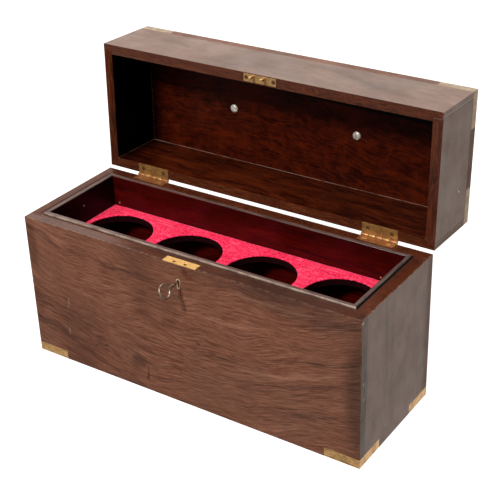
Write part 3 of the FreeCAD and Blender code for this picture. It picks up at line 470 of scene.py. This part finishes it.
def metal(name, clean, tarnish, lid, rough, age, brushed=None, border=False, bare=1.0):
    """Old metal: clouded tarnish, dark pitted spots and fine scratches."""
    g = material_graph(name)
    point = g.place(lid)
    x, y, z = place = g.split(point)
    cloud = g.noise(point, 110, 5, 0.65, 0.4)
    colour = g.blend(g.times(g.remap(cloud, 0.38, 0.64), age), clean, tarnish)
    spots = g.noise(point, 520, 3, 0.6)
    colour = g.blend(g.remap(spots, 0.64, 0.74, 0, age), colour, tuple(0.35 * part for part in tarnish))
    stroke = (g.stretched(place, *STROKES[brushed]) if brushed
              else g.stretched((g.add(x, g.times(z, 0.4)), y, z), 2300, 2300, 160))
    scratch = g.noise(stroke, 1, 3, 0.7)
    colour = g.blend(g.remap(scratch, 0.40, 0.28, 0, 0.45), colour, tarnish)
    normal = g.bump(g.noise(point, 90, 3, 0.5), 0.25 * MM, 0.4)
    normal = g.bump(g.add(scratch, g.times(spots, -0.6)), 0.05 * MM, 0.7, normal)
    if border:
        colour = g.blend(strap_line(g, place, lid), colour, tuple(0.22 * part for part in tarnish))
    polish = g.remap(g.add(g.times(cloud, 0.7), g.times(scratch, 0.3)), 0.35, 0.65, *rough)
    return g.finish(Base_Color=colour, Metallic=bare, Roughness=polish, Normal=normal)


def strap_line(g, place, lid):
    """A worn inlaid line just inside the upper and lower edges of each corner strap."""
    height = g.minus(place[2], LID_HIGH - STRAP_HIGH if lid else 0.0)
    rise = g.size(g.minus(height, STRAP_HIGH / 2))
    rows = g.times(g.remap(rise, 3.6 * MM, 3.9 * MM), g.remap(rise, 4.5 * MM, 4.2 * MM))
    broken = g.remap(g.noise(g.stretched(place, 90, 90, 30), 1, 2), 0.44, 0.56)
    return g.times(rows, broken, 0.85)


# ---------------------------------------------------------------- velvet

def velvet_material():
    """Crimson velvet: a pile that catches the light in tufts and lies darker where it was pressed."""
    g = material_graph("crimson_velvet")
    point = g.place()
    place = g.split(point)
    tuft = g.noise(point, 1500, 2, 0.6)
    clump = g.noise(g.stretched(place, 330, 470, 330), 1, 4, 0.65)
    brushed = g.noise(point, 34, 3, 0.55, 0.5)
    strand = g.noise(g.stretched(place, 90, 420, 300), 1, 4, 0.65, 0.8)
    ridge = g.noise(g.stretched(place, 620, 620, 620), 1, 2, 0.5)
    colour = g.ramp(clump, (0.32, (0.28, 0.002, 0.018)), (0.42, (0.84, 0.012, 0.066)),
                    (0.54, (1.0, 0.028, 0.105)), (0.68, (1.0, 0.130, 0.220)))
    colour = g.blend(g.remap(brushed, 0.36, 0.56, 0.34, 0.0), colour, (0.60, 0.006, 0.040))
    colour = g.blend(g.remap(strand, 0.52, 0.66, 0.0, 0.65), colour, (1.0, 0.150, 0.250))
    colour = g.blend(g.remap(strand, 0.44, 0.32, 0.0, 0.70), colour, (0.34, 0.003, 0.022))
    colour = g.blend(g.remap(ridge, 0.40, 0.30, 0, 0.55), colour, (0.30, 0.003, 0.022))
    normal = g.bump(brushed, 0.9 * MM, 0.5)
    normal = g.bump(clump, 0.5 * MM, 0.9, normal)
    normal = g.bump(tuft, 0.14 * MM, 0.8, normal)
    return g.finish(Base_Color=colour, Roughness=0.95, Normal=normal, Specular_IOR_Level=0.08,
                    Sheen_Weight=0.42, Sheen_Roughness=0.35, Sheen_Tint=(1.0, 0.36, 0.50))


def sleeve_shade_material():
    """The velvet inside the holes, painted almost black for the shade down there, with lighter patches."""
    g = material_graph("sleeve_shade_velvet")
    point = g.place()
    nap = g.noise(point, 700, 4, 0.65)
    sleeve_patches = g.noise(point, 60, 3, 0.6)
    colour = g.ramp(nap, (0.35, (0.003, 0.0004, 0.0006)), (0.65, (0.020, 0.0015, 0.0030)))
    colour = g.blend(g.remap(sleeve_patches, 0.60, 0.72, 0, 0.5), colour, (0.060, 0.003, 0.008))
    normal = g.bump(nap, 0.3 * MM, 0.8)
    return g.finish(Base_Color=colour, Roughness=0.95, Normal=normal, Specular_IOR_Level=0.05)


# ---------------------------------------------------------------- mesh building

def shade(obj, angle=CRISP):
    """Smooth shading, with edges sharper than the angle kept crisp."""
    mesh = obj.data
    mesh.shade_smooth()
    edges = bmesh.new()
    edges.from_mesh(mesh)
    for edge in edges.edges:
        edge.smooth = len(edge.link_faces) == 2 and edge.calc_face_angle(0) < angle
    edges.to_mesh(mesh)
    edges.free()


def new_mesh(name, points, faces):
    mesh = bpy.data.meshes.new(name)
    mesh.from_pydata([tuple(point) for point in points], [], faces)
    return mesh


def add_object(name, data):
    obj = bpy.data.objects.new(name, data)
    bpy.context.scene.collection.objects.link(obj)
    return obj


def add_mesh(name, points, faces, body, material, slot, place=None, sharp=CRISP):
    mesh = new_mesh(name, points, faces)
    tidy = bmesh.new()
    tidy.from_mesh(mesh)
    bmesh.ops.remove_doubles(tidy, verts=tidy.verts, dist=1e-7)
    bmesh.ops.recalc_face_normals(tidy, faces=tidy.faces)
    tidy.to_mesh(mesh)
    tidy.free()
    if place is not None:
        mesh.transform(place)
    obj = add_object(name, mesh)
    mesh.materials.append(material)
    shade(obj, sharp)
    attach(obj, body)
    return obj


def lathe(profile, segments=48):
    """Points and faces of a profile of (radius, height) turned about +Z; zero radii close the ends."""
    points, faces, rows = [], [], []
    for radius, height in profile:
        if radius < 1e-9:
            rows.append([len(points)])
            points.append(Vector((0, 0, height)))
            continue
        rows.append(list(range(len(points), len(points) + segments)))
        for i in range(segments):
            turn = 2 * math.pi * i / segments
            points.append(Vector((radius * math.cos(turn), radius * math.sin(turn), height)))
    for lower, upper in zip(rows, rows[1:]):
        for i in range(segments):
            j = (i + 1) % segments
            if len(lower) == 1:
                faces.append((lower[0], upper[j], upper[i]))
            elif len(upper) == 1:
                faces.append((lower[i], lower[j], upper[0]))
            else:
                faces.append((lower[i], lower[j], upper[j], upper[i]))
    return points, faces


def tube(line, radii, segments=24, closed=False):
    """Points and faces of a round tube along a line of points; open ends are capped."""
    count = len(line)
    points, faces = [], []
    tangents = []
    for i in range(count):
        before = line[(i - 1) % count] if closed or i > 0 else line[0]
        after = line[(i + 1) % count] if closed or i < count - 1 else line[-1]
        tangents.append((after - before).normalized())
    side = tangents[0].orthogonal().normalized()
    for i in range(count):
        side = (side - tangents[i] * side.dot(tangents[i])).normalized()
        other = tangents[i].cross(side)
        for k in range(segments):
            turn = 2 * math.pi * k / segments
            points.append(line[i] + (side * math.cos(turn) + other * math.sin(turn)) * radii[i])
    spans = count if closed else count - 1
    for i in range(spans):
        for k in range(segments):
            a, b = i * segments + k, i * segments + (k + 1) % segments
            j = (i + 1) % count
            faces.append((a, b, j * segments + (k + 1) % segments, j * segments + k))
    if not closed:
        faces.append(tuple(range(segments - 1, -1, -1)))
        faces.append(tuple((count - 1) * segments + k for k in range(segments)))
    return points, faces


def merge(*pieces):
    """Several (points, faces) pairs in one."""
    points, faces = [], []
    for more_points, more_faces in pieces:
        start = len(points)
        points += list(more_points)
        faces += [tuple(start + i for i in face) for face in more_faces]
    return points, faces


def moved(piece, place):
    points, faces = piece
    return [place @ Vector(point) for point in points], faces


def brick(low, high):
    """Points and faces of a block between two corners."""
    points = [Vector(corner) for corner in itertools.product(*zip(low, high))]
    faces = [(0, 1, 3, 2), (4, 6, 7, 5), (0, 4, 5, 1), (2, 3, 7, 6), (0, 2, 6, 4), (1, 5, 7, 3)]
    return points, faces


def cut(obj, piece):
    """Takes a solid out of an object's mesh."""
    mesh = new_mesh("cutter", *piece)
    cutter = add_object("cutter", mesh)
    modifier = obj.modifiers.new("cut", "BOOLEAN")
    modifier.operation = "DIFFERENCE"
    modifier.solver = "EXACT"
    modifier.object = cutter
    apply_modifiers(obj)
    bpy.data.objects.remove(cutter)
    bpy.data.meshes.remove(mesh)


def apply_modifiers(obj):
    bpy.context.view_layer.update()
    graph = bpy.context.evaluated_depsgraph_get()
    made = bpy.data.meshes.new_from_object(obj.evaluated_get(graph))
    obj.modifiers.clear()
    old = obj.data
    obj.data = made
    bpy.data.meshes.remove(old)


# ---------------------------------------------------------------- camera, floor and light

# The camera was fitted to the photo.
AZIMUTH, ELEVATION, ROLL = (math.radians(angle) for angle in (34.3208, 28.6361, 1.8385))
CAMERA_AT = (0.7112, -0.9826, 0.8296)
LENS = 85.673
FLOOR_REACH = 60
FLOOR_GLOW = 0.94

scene = bpy.context.scene
back = Vector((math.sin(AZIMUTH) * math.cos(ELEVATION), -math.cos(AZIMUTH) * math.cos(ELEVATION),
               math.sin(ELEVATION)))
right = (-back).cross(Vector((0, 0, 1))).normalized()
down = (-back).cross(right)
row_x = right * math.cos(ROLL) + down * math.sin(ROLL)
row_y = down * math.cos(ROLL) - right * math.sin(ROLL)
turn = Matrix((row_x, -row_y, back)).transposed()
camera = add_object("camera", bpy.data.cameras.new("camera"))
camera.data.sensor_width = 36
camera.data.lens = LENS
camera.data.clip_start = 0.05
camera.data.clip_end = 200
camera.matrix_world = Matrix.Translation(CAMERA_AT) @ turn.to_4x4()
scene.camera = camera
scene.view_settings.view_transform = "Standard"

white = material_graph("white_floor")
tint = white.ramp(white.noise(white.place(), 3, 2), (0.3, (0.28, 0.28, 0.28)), (0.7, (0.30, 0.30, 0.30)))
floor_corners = [(x * FLOOR_REACH, y * FLOOR_REACH, 0) for x, y in ((-1, -1), (1, -1), (1, 1), (-1, 1))]
floor = add_object("floor", new_mesh("floor", floor_corners, [(0, 1, 2, 3)]))
floor.data.materials.append(white.finish(Base_Color=tint, Roughness=0.9, Specular_IOR_Level=0.0,
                                         Emission_Color=(1.0, 1.0, 1.0), Emission_Strength=FLOOR_GLOW))
# The world below stands in for what the floor would throw back on the box.
floor.visible_diffuse = False
floor.visible_glossy = False

# Studio surroundings: a dim room with soft lobes of light over and around the box.
# Each lobe: its direction, the cosines where it starts and is full, and its strength.
ROOM_GLOW = 0.20
ROOM_TINT = (1.0, 0.935, 0.86)
LOBES = (
    ((0.0, 0.0, 1.0), 0.25, 0.95, 0.75),
    ((0.52, 0.72, -0.46), 0.62, 0.96, 0.86),
    ((-0.50, 0.72, 0.48), 0.70, 0.97, 1.40),
    ((0.90, -0.10, 0.40), 0.55, 0.95, 0.45),
    ((-0.85, -0.40, 0.25), 0.60, 0.95, 0.20),
)
scene.world = bpy.data.worlds.new("world")
room = Graph(scene.world)
direction = room.node("TexCoord").outputs["Generated"]
glow = ROOM_GLOW
for aim, start, full, strength in LOBES:
    dot = room.node("VectorMath", direction, Vector(aim).normalized())
    dot.operation = "DOT_PRODUCT"
    glow = room.add(room.remap(dot.outputs["Value"], start, full, 0.0, strength), glow)
room.node("OutputWorld", room.node("Background", ROOM_TINT, glow).outputs[0])

KEY_LIGHT_AT = Vector((-0.30, -1.85, 2.05))
KEY_LIGHT_AIM = Vector((0, 0.05, 0.18))
key_light = add_object("key", bpy.data.lights.new("key", "AREA"))
key_light.data.shape = "RECTANGLE"
key_light.data.size = key_light.data.size_y = 0.40
key_light.data.energy = 68
key_light.location = KEY_LIGHT_AT
key_light.rotation_mode = "QUATERNION"
key_light.rotation_quaternion = (KEY_LIGHT_AIM - KEY_LIGHT_AT).to_track_quat("-Z", "Y")


# ---------------------------------------------------------------- materials of the CAD pieces

SHELL = {
    "base_front_board": shell_wood("rosewood_base_front", "x", False, (-0.04, -0.65), 0.012,
                                   FRONT_MARKS, specular=0.30),
    "base_back_board": shell_wood("rosewood_base_back", "x", False, (0.10, 0.35), 0.010, seed=0.31,
                                  specular=0.12),
    "base_left_board": shell_wood("rosewood_base_left", "z", False, (0.05, 0.0), 0.006, seed=0.53,
                                  specular=0.10),
    "base_right_board": shell_wood("rosewood_base_right", "z", False, (0.04, 0.0), 0.006, RIGHT_MARKS,
                                   0.77, SIDE, specular=0.50, contrast=0.30),
    "lid_front_board": shell_wood("rosewood_lid_front", "x", True, (0.06, 0.20), 0.010, seed=0.19,
                                  tones=UPPER, specular=0.55, contrast=0.60),
    "lid_back_board": shell_wood("rosewood_lid_back", "x", True, (0.02, 0.12), 0.010, seed=0.42,
                                 inside=INSIDE_BACK, specular=0.16),
    # The left end's inside is painted in shade tones.
    "lid_left_board": shell_wood("rosewood_lid_left", "y", True, (0.03, 0.0), 0.006, seed=0.64,
                                 inside=INSIDE_PAINTED_SHADE, specular=0.05),
    "lid_right_board": shell_wood("rosewood_lid_right", "y", True, (0.05, 0.0), 0.006, LID_RIGHT_MARKS,
                                  0.88, SIDE, specular=0.50, contrast=0.30),
    "lid_top_board": shell_wood("rosewood_lid_top", "flat", True, (0.08, -0.30), 0.014, seed=0.27,
                                specular=0.10),
}
lining_long = polished_wood("mahogany_long", "x", LINING, 0.26, 0.20)
# The end linings take the painted-shade tones.
lining_short = polished_wood("mahogany_short", "y", LINING_PAINTED_SHADE, 0.34, 0.12, seed=0.4)
rack_wood = polished_wood("rack_wood", "flat", DEAL, 0.45, 0.15)
partition_wood = polished_wood("partition_wood", "y", LINING, 0.40, 0.15, seed=0.2)
bottom_wood = polished_wood("bottom_wood", "flat", DEAL, 0.40, 0.20, seed=0.7)

# Clean and tarnished colour, on the lid or not, roughness, age, brushing; bare is the Metallic value.
brass_base = metal("brass_corner", (0.76, 0.46, 0.19), (0.34, 0.175, 0.060), False, (0.30, 0.46), 0.60,
                   border=True, bare=0.45)
brass_lid = metal("brass_lid_corner", (0.34, 0.25, 0.16), (0.20, 0.135, 0.085), True, (0.38, 0.52), 0.60,
                  border=True, bare=0.35)
brass_plate = metal("brass_plate", (1.0, 0.62, 0.22), (0.58, 0.29, 0.08), False, (0.26, 0.42), 0.55, "x",
                    bare=0.55)
brass_link = metal("brass_link", (0.62, 0.40, 0.16), (0.34, 0.17, 0.055), True, (0.28, 0.44), 0.60, "x",
                   bare=0.65)
brass_leaf = metal("brass_lid_leaf", (0.40, 0.215, 0.065), (0.13, 0.050, 0.016), True, (0.34, 0.50), 0.65,
                   "x", bare=0.60)
brass_coppery = metal("brass_base_leaf", (0.38, 0.165, 0.060), (0.17, 0.050, 0.018), False, (0.32, 0.50),
                      0.60, "x", bare=0.60)
brass_pin = metal("brass_pin", (0.62, 0.38, 0.15), (0.30, 0.15, 0.05), False, (0.24, 0.40), 0.5, bare=0.7)
brass_lid_pin = metal("brass_lid_pin", (0.50, 0.32, 0.13), (0.24, 0.13, 0.05), True, (0.26, 0.42), 0.5,
                      bare=0.7)
brass_dark = metal("brass_dark_screws", (0.17, 0.085, 0.032), (0.06, 0.026, 0.012), True, (0.34, 0.50), 0.5,
                   bare=0.6)
# The keyhole thread's paler brass is a painted highlight on its rim.
brass_thread_highlit = metal("brass_thread_highlit", (0.86, 0.66, 0.42), (0.50, 0.33, 0.17), False, (0.26, 0.42), 0.4,
                     bare=0.5)
brass_handle = metal("brass_handle", (0.62, 0.39, 0.145), (0.30, 0.155, 0.050), True, (0.24, 0.42), 0.6,
                     "round", bare=0.8)
steel = metal("steel", (0.44, 0.36, 0.28), (0.11, 0.065, 0.040), False, (0.22, 0.40), 0.75, "round", bare=0.8)
lock_iron = metal("lock_iron", (0.075, 0.055, 0.040), (0.020, 0.013, 0.009), False, (0.40, 0.60), 0.7,
                  "round", bare=0.5)
nickel = metal("nickel", (0.66, 0.61, 0.54), (0.34, 0.29, 0.24), True, (0.34, 0.50), 0.35, "round", bare=0.45)

CORNERS = ("front_left", "front_right", "back_left", "back_right")
MATERIALS = dict(SHELL)
for names, material in (
    (("lining_front", "lining_back"), lining_long),
    (("lining_left", "lining_right"), lining_short),
    (("rack_board", "rack_batten_left", "rack_batten_right"), rack_wood),
    (("cell_partition_1", "cell_partition_2", "cell_partition_3"), partition_wood),
    (("base_bottom_board",), bottom_wood),
    (tuple("base_strap_" + corner for corner in CORNERS), brass_base),
    (tuple("lid_strap_" + corner for corner in CORNERS), brass_lid),
    (("lock_selvedge_plate",), brass_plate),
    (("lid_link_plate",), brass_link),
    (("hinge_left_lid_leaf", "hinge_right_lid_leaf"), brass_leaf),
    (("hinge_left_base_leaf", "hinge_right_base_leaf"), brass_coppery),
    (("hinge_left_pin", "hinge_right_pin", "base_strap_pins", "lock_plate_pins", "hinge_base_screws",
      "lock_lever"), brass_pin),
    (("lock_case", "lock_bolt"), lock_iron),
    (("keyhole_thread",), brass_thread_highlit),
    (("lid_strap_pins",), brass_lid_pin),
    (("hinge_lid_screws", "link_plate_screws"), brass_dark),
    (("handle_rose_left", "handle_rose_right", "handle_post_left", "handle_post_right", "handle_bail"),
     brass_handle),
    (("lock_drill_pin", "lock_lever_pivot", "lock_lever_spring"), steel),
):
    for node_name in names:
        MATERIALS[node_name] = material

ALREADY_ROUND = ("handle_bail", "hinge_left_pin", "hinge_right_pin")
WOOD_BEVEL, METAL_BEVEL = 0.45 * MM, 0.16 * MM
for node_name, material in MATERIALS.items():
    obj = NODES[node_name]
    obj.data.materials.clear()
    obj.data.materials.append(material)
    weld = obj.modifiers.new("weld", "WELD")
    weld.merge_threshold = 0.002 * MM
    is_wood = material.name.startswith(("rosewood", "mahogany", "rack", "partition", "bottom"))
    if node_name not in ALREADY_ROUND:
        bevel = obj.modifiers.new("bevel", "BEVEL")
        bevel.limit_method = "ANGLE"
        bevel.angle_limit = CRISP
        bevel.width = WOOD_BEVEL if is_wood else METAL_BEVEL
        bevel.segments = 2
        bevel.harden_normals = False


# ---------------------------------------------------------------- velvet over the rack

VELVET_TOP = 152 * MM
VELVET_FOOT = 142.6 * MM
VELVET_X = 207.3 * MM
VELVET_Y = 58.3 * MM
CELL_PITCH = 104 * MM
CELL_RADIUS = 44 * MM
ROLL_RADIUS = 1.5 * MM
ROLL_STEPS = 6
PILE = 1.1 * MM
END_STEPS, SIDE_STEPS = 54, 48
# How far out between the roll and the cell's outline each flat ring lies.
SPREAD = (0.04, 0.09, 0.16, 0.25, 0.36, 0.48, 0.60, 0.72, 0.84, 0.93, 1.0)


def velvet_cell(centre, low_x, high_x):
    """One cell of the velvet: rings that go from inside the bottle's hole out to the cell's outline."""
    outline = []
    corners = [(high_x, -VELVET_Y), (high_x, VELVET_Y), (low_x, VELVET_Y), (low_x, -VELVET_Y)]
    for k, start in enumerate(corners):
        end = corners[(k + 1) % 4]
        steps = SIDE_STEPS if k % 2 else END_STEPS
        for i in range(steps):
            t = i / steps
            outline.append(Vector((start[0] + (end[0] - start[0]) * t, start[1] + (end[1] - start[1]) * t)))
    profile = [(CELL_RADIUS + 0.15 * MM, VELVET_FOOT), (CELL_RADIUS, VELVET_FOOT + 3 * MM),
               (CELL_RADIUS, VELVET_TOP - ROLL_RADIUS - 1.5 * MM)]
    for i in range(ROLL_STEPS + 1):
        turn = math.pi / 2 * i / ROLL_STEPS
        profile.append((CELL_RADIUS + ROLL_RADIUS * (1 - math.cos(turn)),
                        VELVET_TOP - ROLL_RADIUS + ROLL_RADIUS * math.sin(turn)))
    points, faces = [], []
    count = len(outline)
    for radius, height in profile:
        for edge in outline:
            way = (edge - Vector((centre, 0))).normalized()
            points.append(Vector((centre + way.x * radius, way.y * radius, height)))
    start_radius = profile[-1][0]
    for part in SPREAD:
        for edge in outline:
            offset = edge - Vector((centre, 0))
            reach = start_radius + (offset.length - start_radius) * part
            way = offset.normalized()
            points.append(Vector((centre + way.x * reach, way.y * reach, VELVET_TOP)))
    rings = len(profile) + len(SPREAD)
    for ring in range(rings - 1):
        for i in range(count):
            j = (i + 1) % count
            low, high = ring * count, (ring + 1) * count
            faces.append((low + i, low + j, high + j, high + i))
    return points, faces


points, faces = merge(*(
    velvet_cell(k * CELL_PITCH, max(-VELVET_X, (k - 0.5) * CELL_PITCH), min(VELVET_X, (k + 0.5) * CELL_PITCH))
    for k in (-1.5, -0.5, 0.5, 1.5)))
for point in points:
    if point.z > VELVET_TOP - 1.2 * ROLL_RADIUS:
        edge = min(VELVET_X - abs(point.x), VELVET_Y - abs(point.y))
        tuck = max(0.0, 1 - edge / (2.5 * MM))
        cushion = noise.noise(point * 45) * 0.35 * MM + noise.noise(point * 160) * 0.16 * MM
        point.z += cushion - tuck * tuck * 1.0 * MM
    else:
        nearest = round(point.x / CELL_PITCH - 0.5) + 0.5
        way = Vector((point.x - nearest * CELL_PITCH, point.y, 0)).normalized()
        point += way * (noise.noise(point * 260) * 0.18 * MM)
velvet = add_mesh("velvet_cover", points, faces, "base", velvet_material(), "velvet",
                  sharp=math.radians(80))
solid = velvet.modifiers.new("pile", "SOLIDIFY")
solid.thickness = PILE
solid.offset = -1
apply_modifiers(velvet)
shade(velvet, math.radians(75))
# The velvet down inside the holes takes the near-black painted-shade material.
velvet.data.materials.append(sleeve_shade_material())
for polygon in velvet.data.polygons:
    if polygon.center.z < VELVET_TOP - ROLL_RADIUS:
        polygon.material_index = 1
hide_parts("rack_velvet")


# ---------------------------------------------------------------- key

KEY_AXIS = Vector((-2.5 * MM, 0, 166.2 * MM))
KEY_PLACE = Matrix.Translation(KEY_AXIS) @ Matrix.Rotation(-math.radians(25), 4, "Y")
BOW_RADIUS = 7.9 * MM
BOW_STEPS = 72
BOW_Y = -HALF_D - 0.3 * MM - 17 * MM - BOW_RADIUS
BACK_Y = -74.9 * MM
# The shank is turned along local -Y: heights count forward from the end that is in the lock.
TURN_TO_FRONT = Matrix.Translation((0, BACK_Y, 0)) @ Matrix.Rotation(math.radians(90), 4, "X")
LONG = (BACK_Y - (BOW_Y + BOW_RADIUS)) / MM
# Radius and height in mm: the pipe that runs on the drill pin, the shank, its collars and its end.
shank_profile = [(0.0, 6.0), (0.85, 6.0), (0.85, 0.0), (1.35, 0.0), (1.5, 0.3), (1.5, LONG - 8.6),
                 (1.85, LONG - 8.1), (1.85, LONG - 7.4), (1.45, LONG - 7.0), (1.45, LONG - 3.6),
                 (2.2, LONG - 3.2), (2.3, LONG - 2.6), (2.2, LONG - 2.0), (1.5, LONG - 1.7),
                 (1.6, LONG - 0.8), (1.1, LONG + 0.6), (0.0, LONG + 0.9)]
shank = moved(lathe([(radius * MM, height * MM) for radius, height in shank_profile], 40), TURN_TO_FRONT)
bow_line, bow_radii = [], []
for i in range(BOW_STEPS):
    turn_at = 2 * math.pi * i / BOW_STEPS
    bow_line.append(Vector((0, BOW_Y + BOW_RADIUS * math.cos(turn_at), BOW_RADIUS * math.sin(turn_at))))
    # The ring is thickest where it meets the shank.
    near = max(0.0, math.cos(turn_at)) ** 6
    bow_radii.append((1.15 + 0.15 * near) * MM)
bow = tube(bow_line, bow_radii, 20, closed=True)
bit = brick((-0.7 * MM, BACK_Y - 3.6 * MM, -6.0 * MM), (0.7 * MM, BACK_Y, -1.0 * MM))
key = add_mesh("key_turned", *merge(shank, bow, bit), "key", steel, "steel", KEY_PLACE)
# The bit's two notches, each by two corners in mm.
for notch in (((-1.0, -76.6, -6.3), (1.0, -75.9, -4.2)), ((-1.0, -77.9, -6.3), (1.0, -77.3, -3.4))):
    low, high = (tuple(part * MM for part in corner) for corner in notch)
    cut(key, moved(brick(low, high), KEY_PLACE))
shade(key)
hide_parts("key")


# ---------------------------------------------------------------- slotted nuts inside the lid

NUT_X = 87.5 * MM
NUT = [(0.0, -11.9), (2.0, -11.9), (2.0, 0.0), (5.35, 0.0), (5.4, 0.25), (5.3, 0.6), (4.9, 1.35), (4.1, 1.95),
       (3.0, 2.35), (1.6, 2.55), (0.0, 2.6)]
for place, side, slot_turn in (("left", -1, 62), ("right", 1, 14)):
    stand = (LID_PLACE @ Matrix.Translation((side * NUT_X, 0, LID_CEILING))
             @ Matrix.Rotation(math.pi, 4, "X"))
    profile = [(radius * MM, height * MM) for radius, height in NUT]
    nut = add_mesh("lid_nut_" + place, *lathe(profile, 56), "lid", nickel, "nickel", stand)
    slot_place = stand @ Matrix.Rotation(math.radians(slot_turn), 4, "Z")
    cut(nut, moved(brick((-0.65 * MM, -6 * MM, 1.15 * MM), (0.65 * MM, 6 * MM, 4 * MM)), slot_place))
    soft = nut.modifiers.new("edges", "BEVEL")
    soft.limit_method = "ANGLE"
    soft.angle_limit = math.radians(40)
    soft.width = 0.12 * MM
    soft.segments = 2
    shade(nut)
    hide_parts("handle_screw_" + place)


# ---------------------------------------------------------------- brads in the linings

BRAD_HEAD = [(0.0, -4.5), (0.5, -4.5), (0.5, 0.0), (1.1, 0.0), (1.1, 0.25), (0.9, 0.65), (0.5, 0.92),
             (0.0, 1.0)]
INNER_X, INNER_Y = 207.6 * MM, 58.6 * MM
LOW_Z, HIGH_Z = 155 * MM, 174 * MM
BRAD_SPOTS = [(INNER_X - 8 * MM, INNER_Y, LOW_Z, "back"), (-INNER_X + 8 * MM, INNER_Y, LOW_Z, "back"),
              (INNER_X - 30 * MM, INNER_Y, LOW_Z, "back"), (INNER_X - 8 * MM, -INNER_Y, LOW_Z, "front"),
              (-INNER_X + 8 * MM, -INNER_Y, LOW_Z, "front"), (-INNER_X, 0, HIGH_Z, "left"),
              (INNER_X, 0, HIGH_Z, "right")]
FACING = {wall: Matrix.Rotation(math.radians(turn), 4, axis)
          for wall, turn, axis in (("back", 90, "X"), ("front", -90, "X"), ("left", 90, "Y"),
                                   ("right", -90, "Y"))}
heads = []
for x, y, z, wall in BRAD_SPOTS:
    turned = lathe([(radius * MM, height * MM) for radius, height in BRAD_HEAD], 24)
    heads.append(moved(turned, Matrix.Translation((x, y, z)) @ FACING[wall]))
brads = add_mesh("brad_heads", *merge(*heads), "base", brass_pin, "brass")
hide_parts("lining_brads")
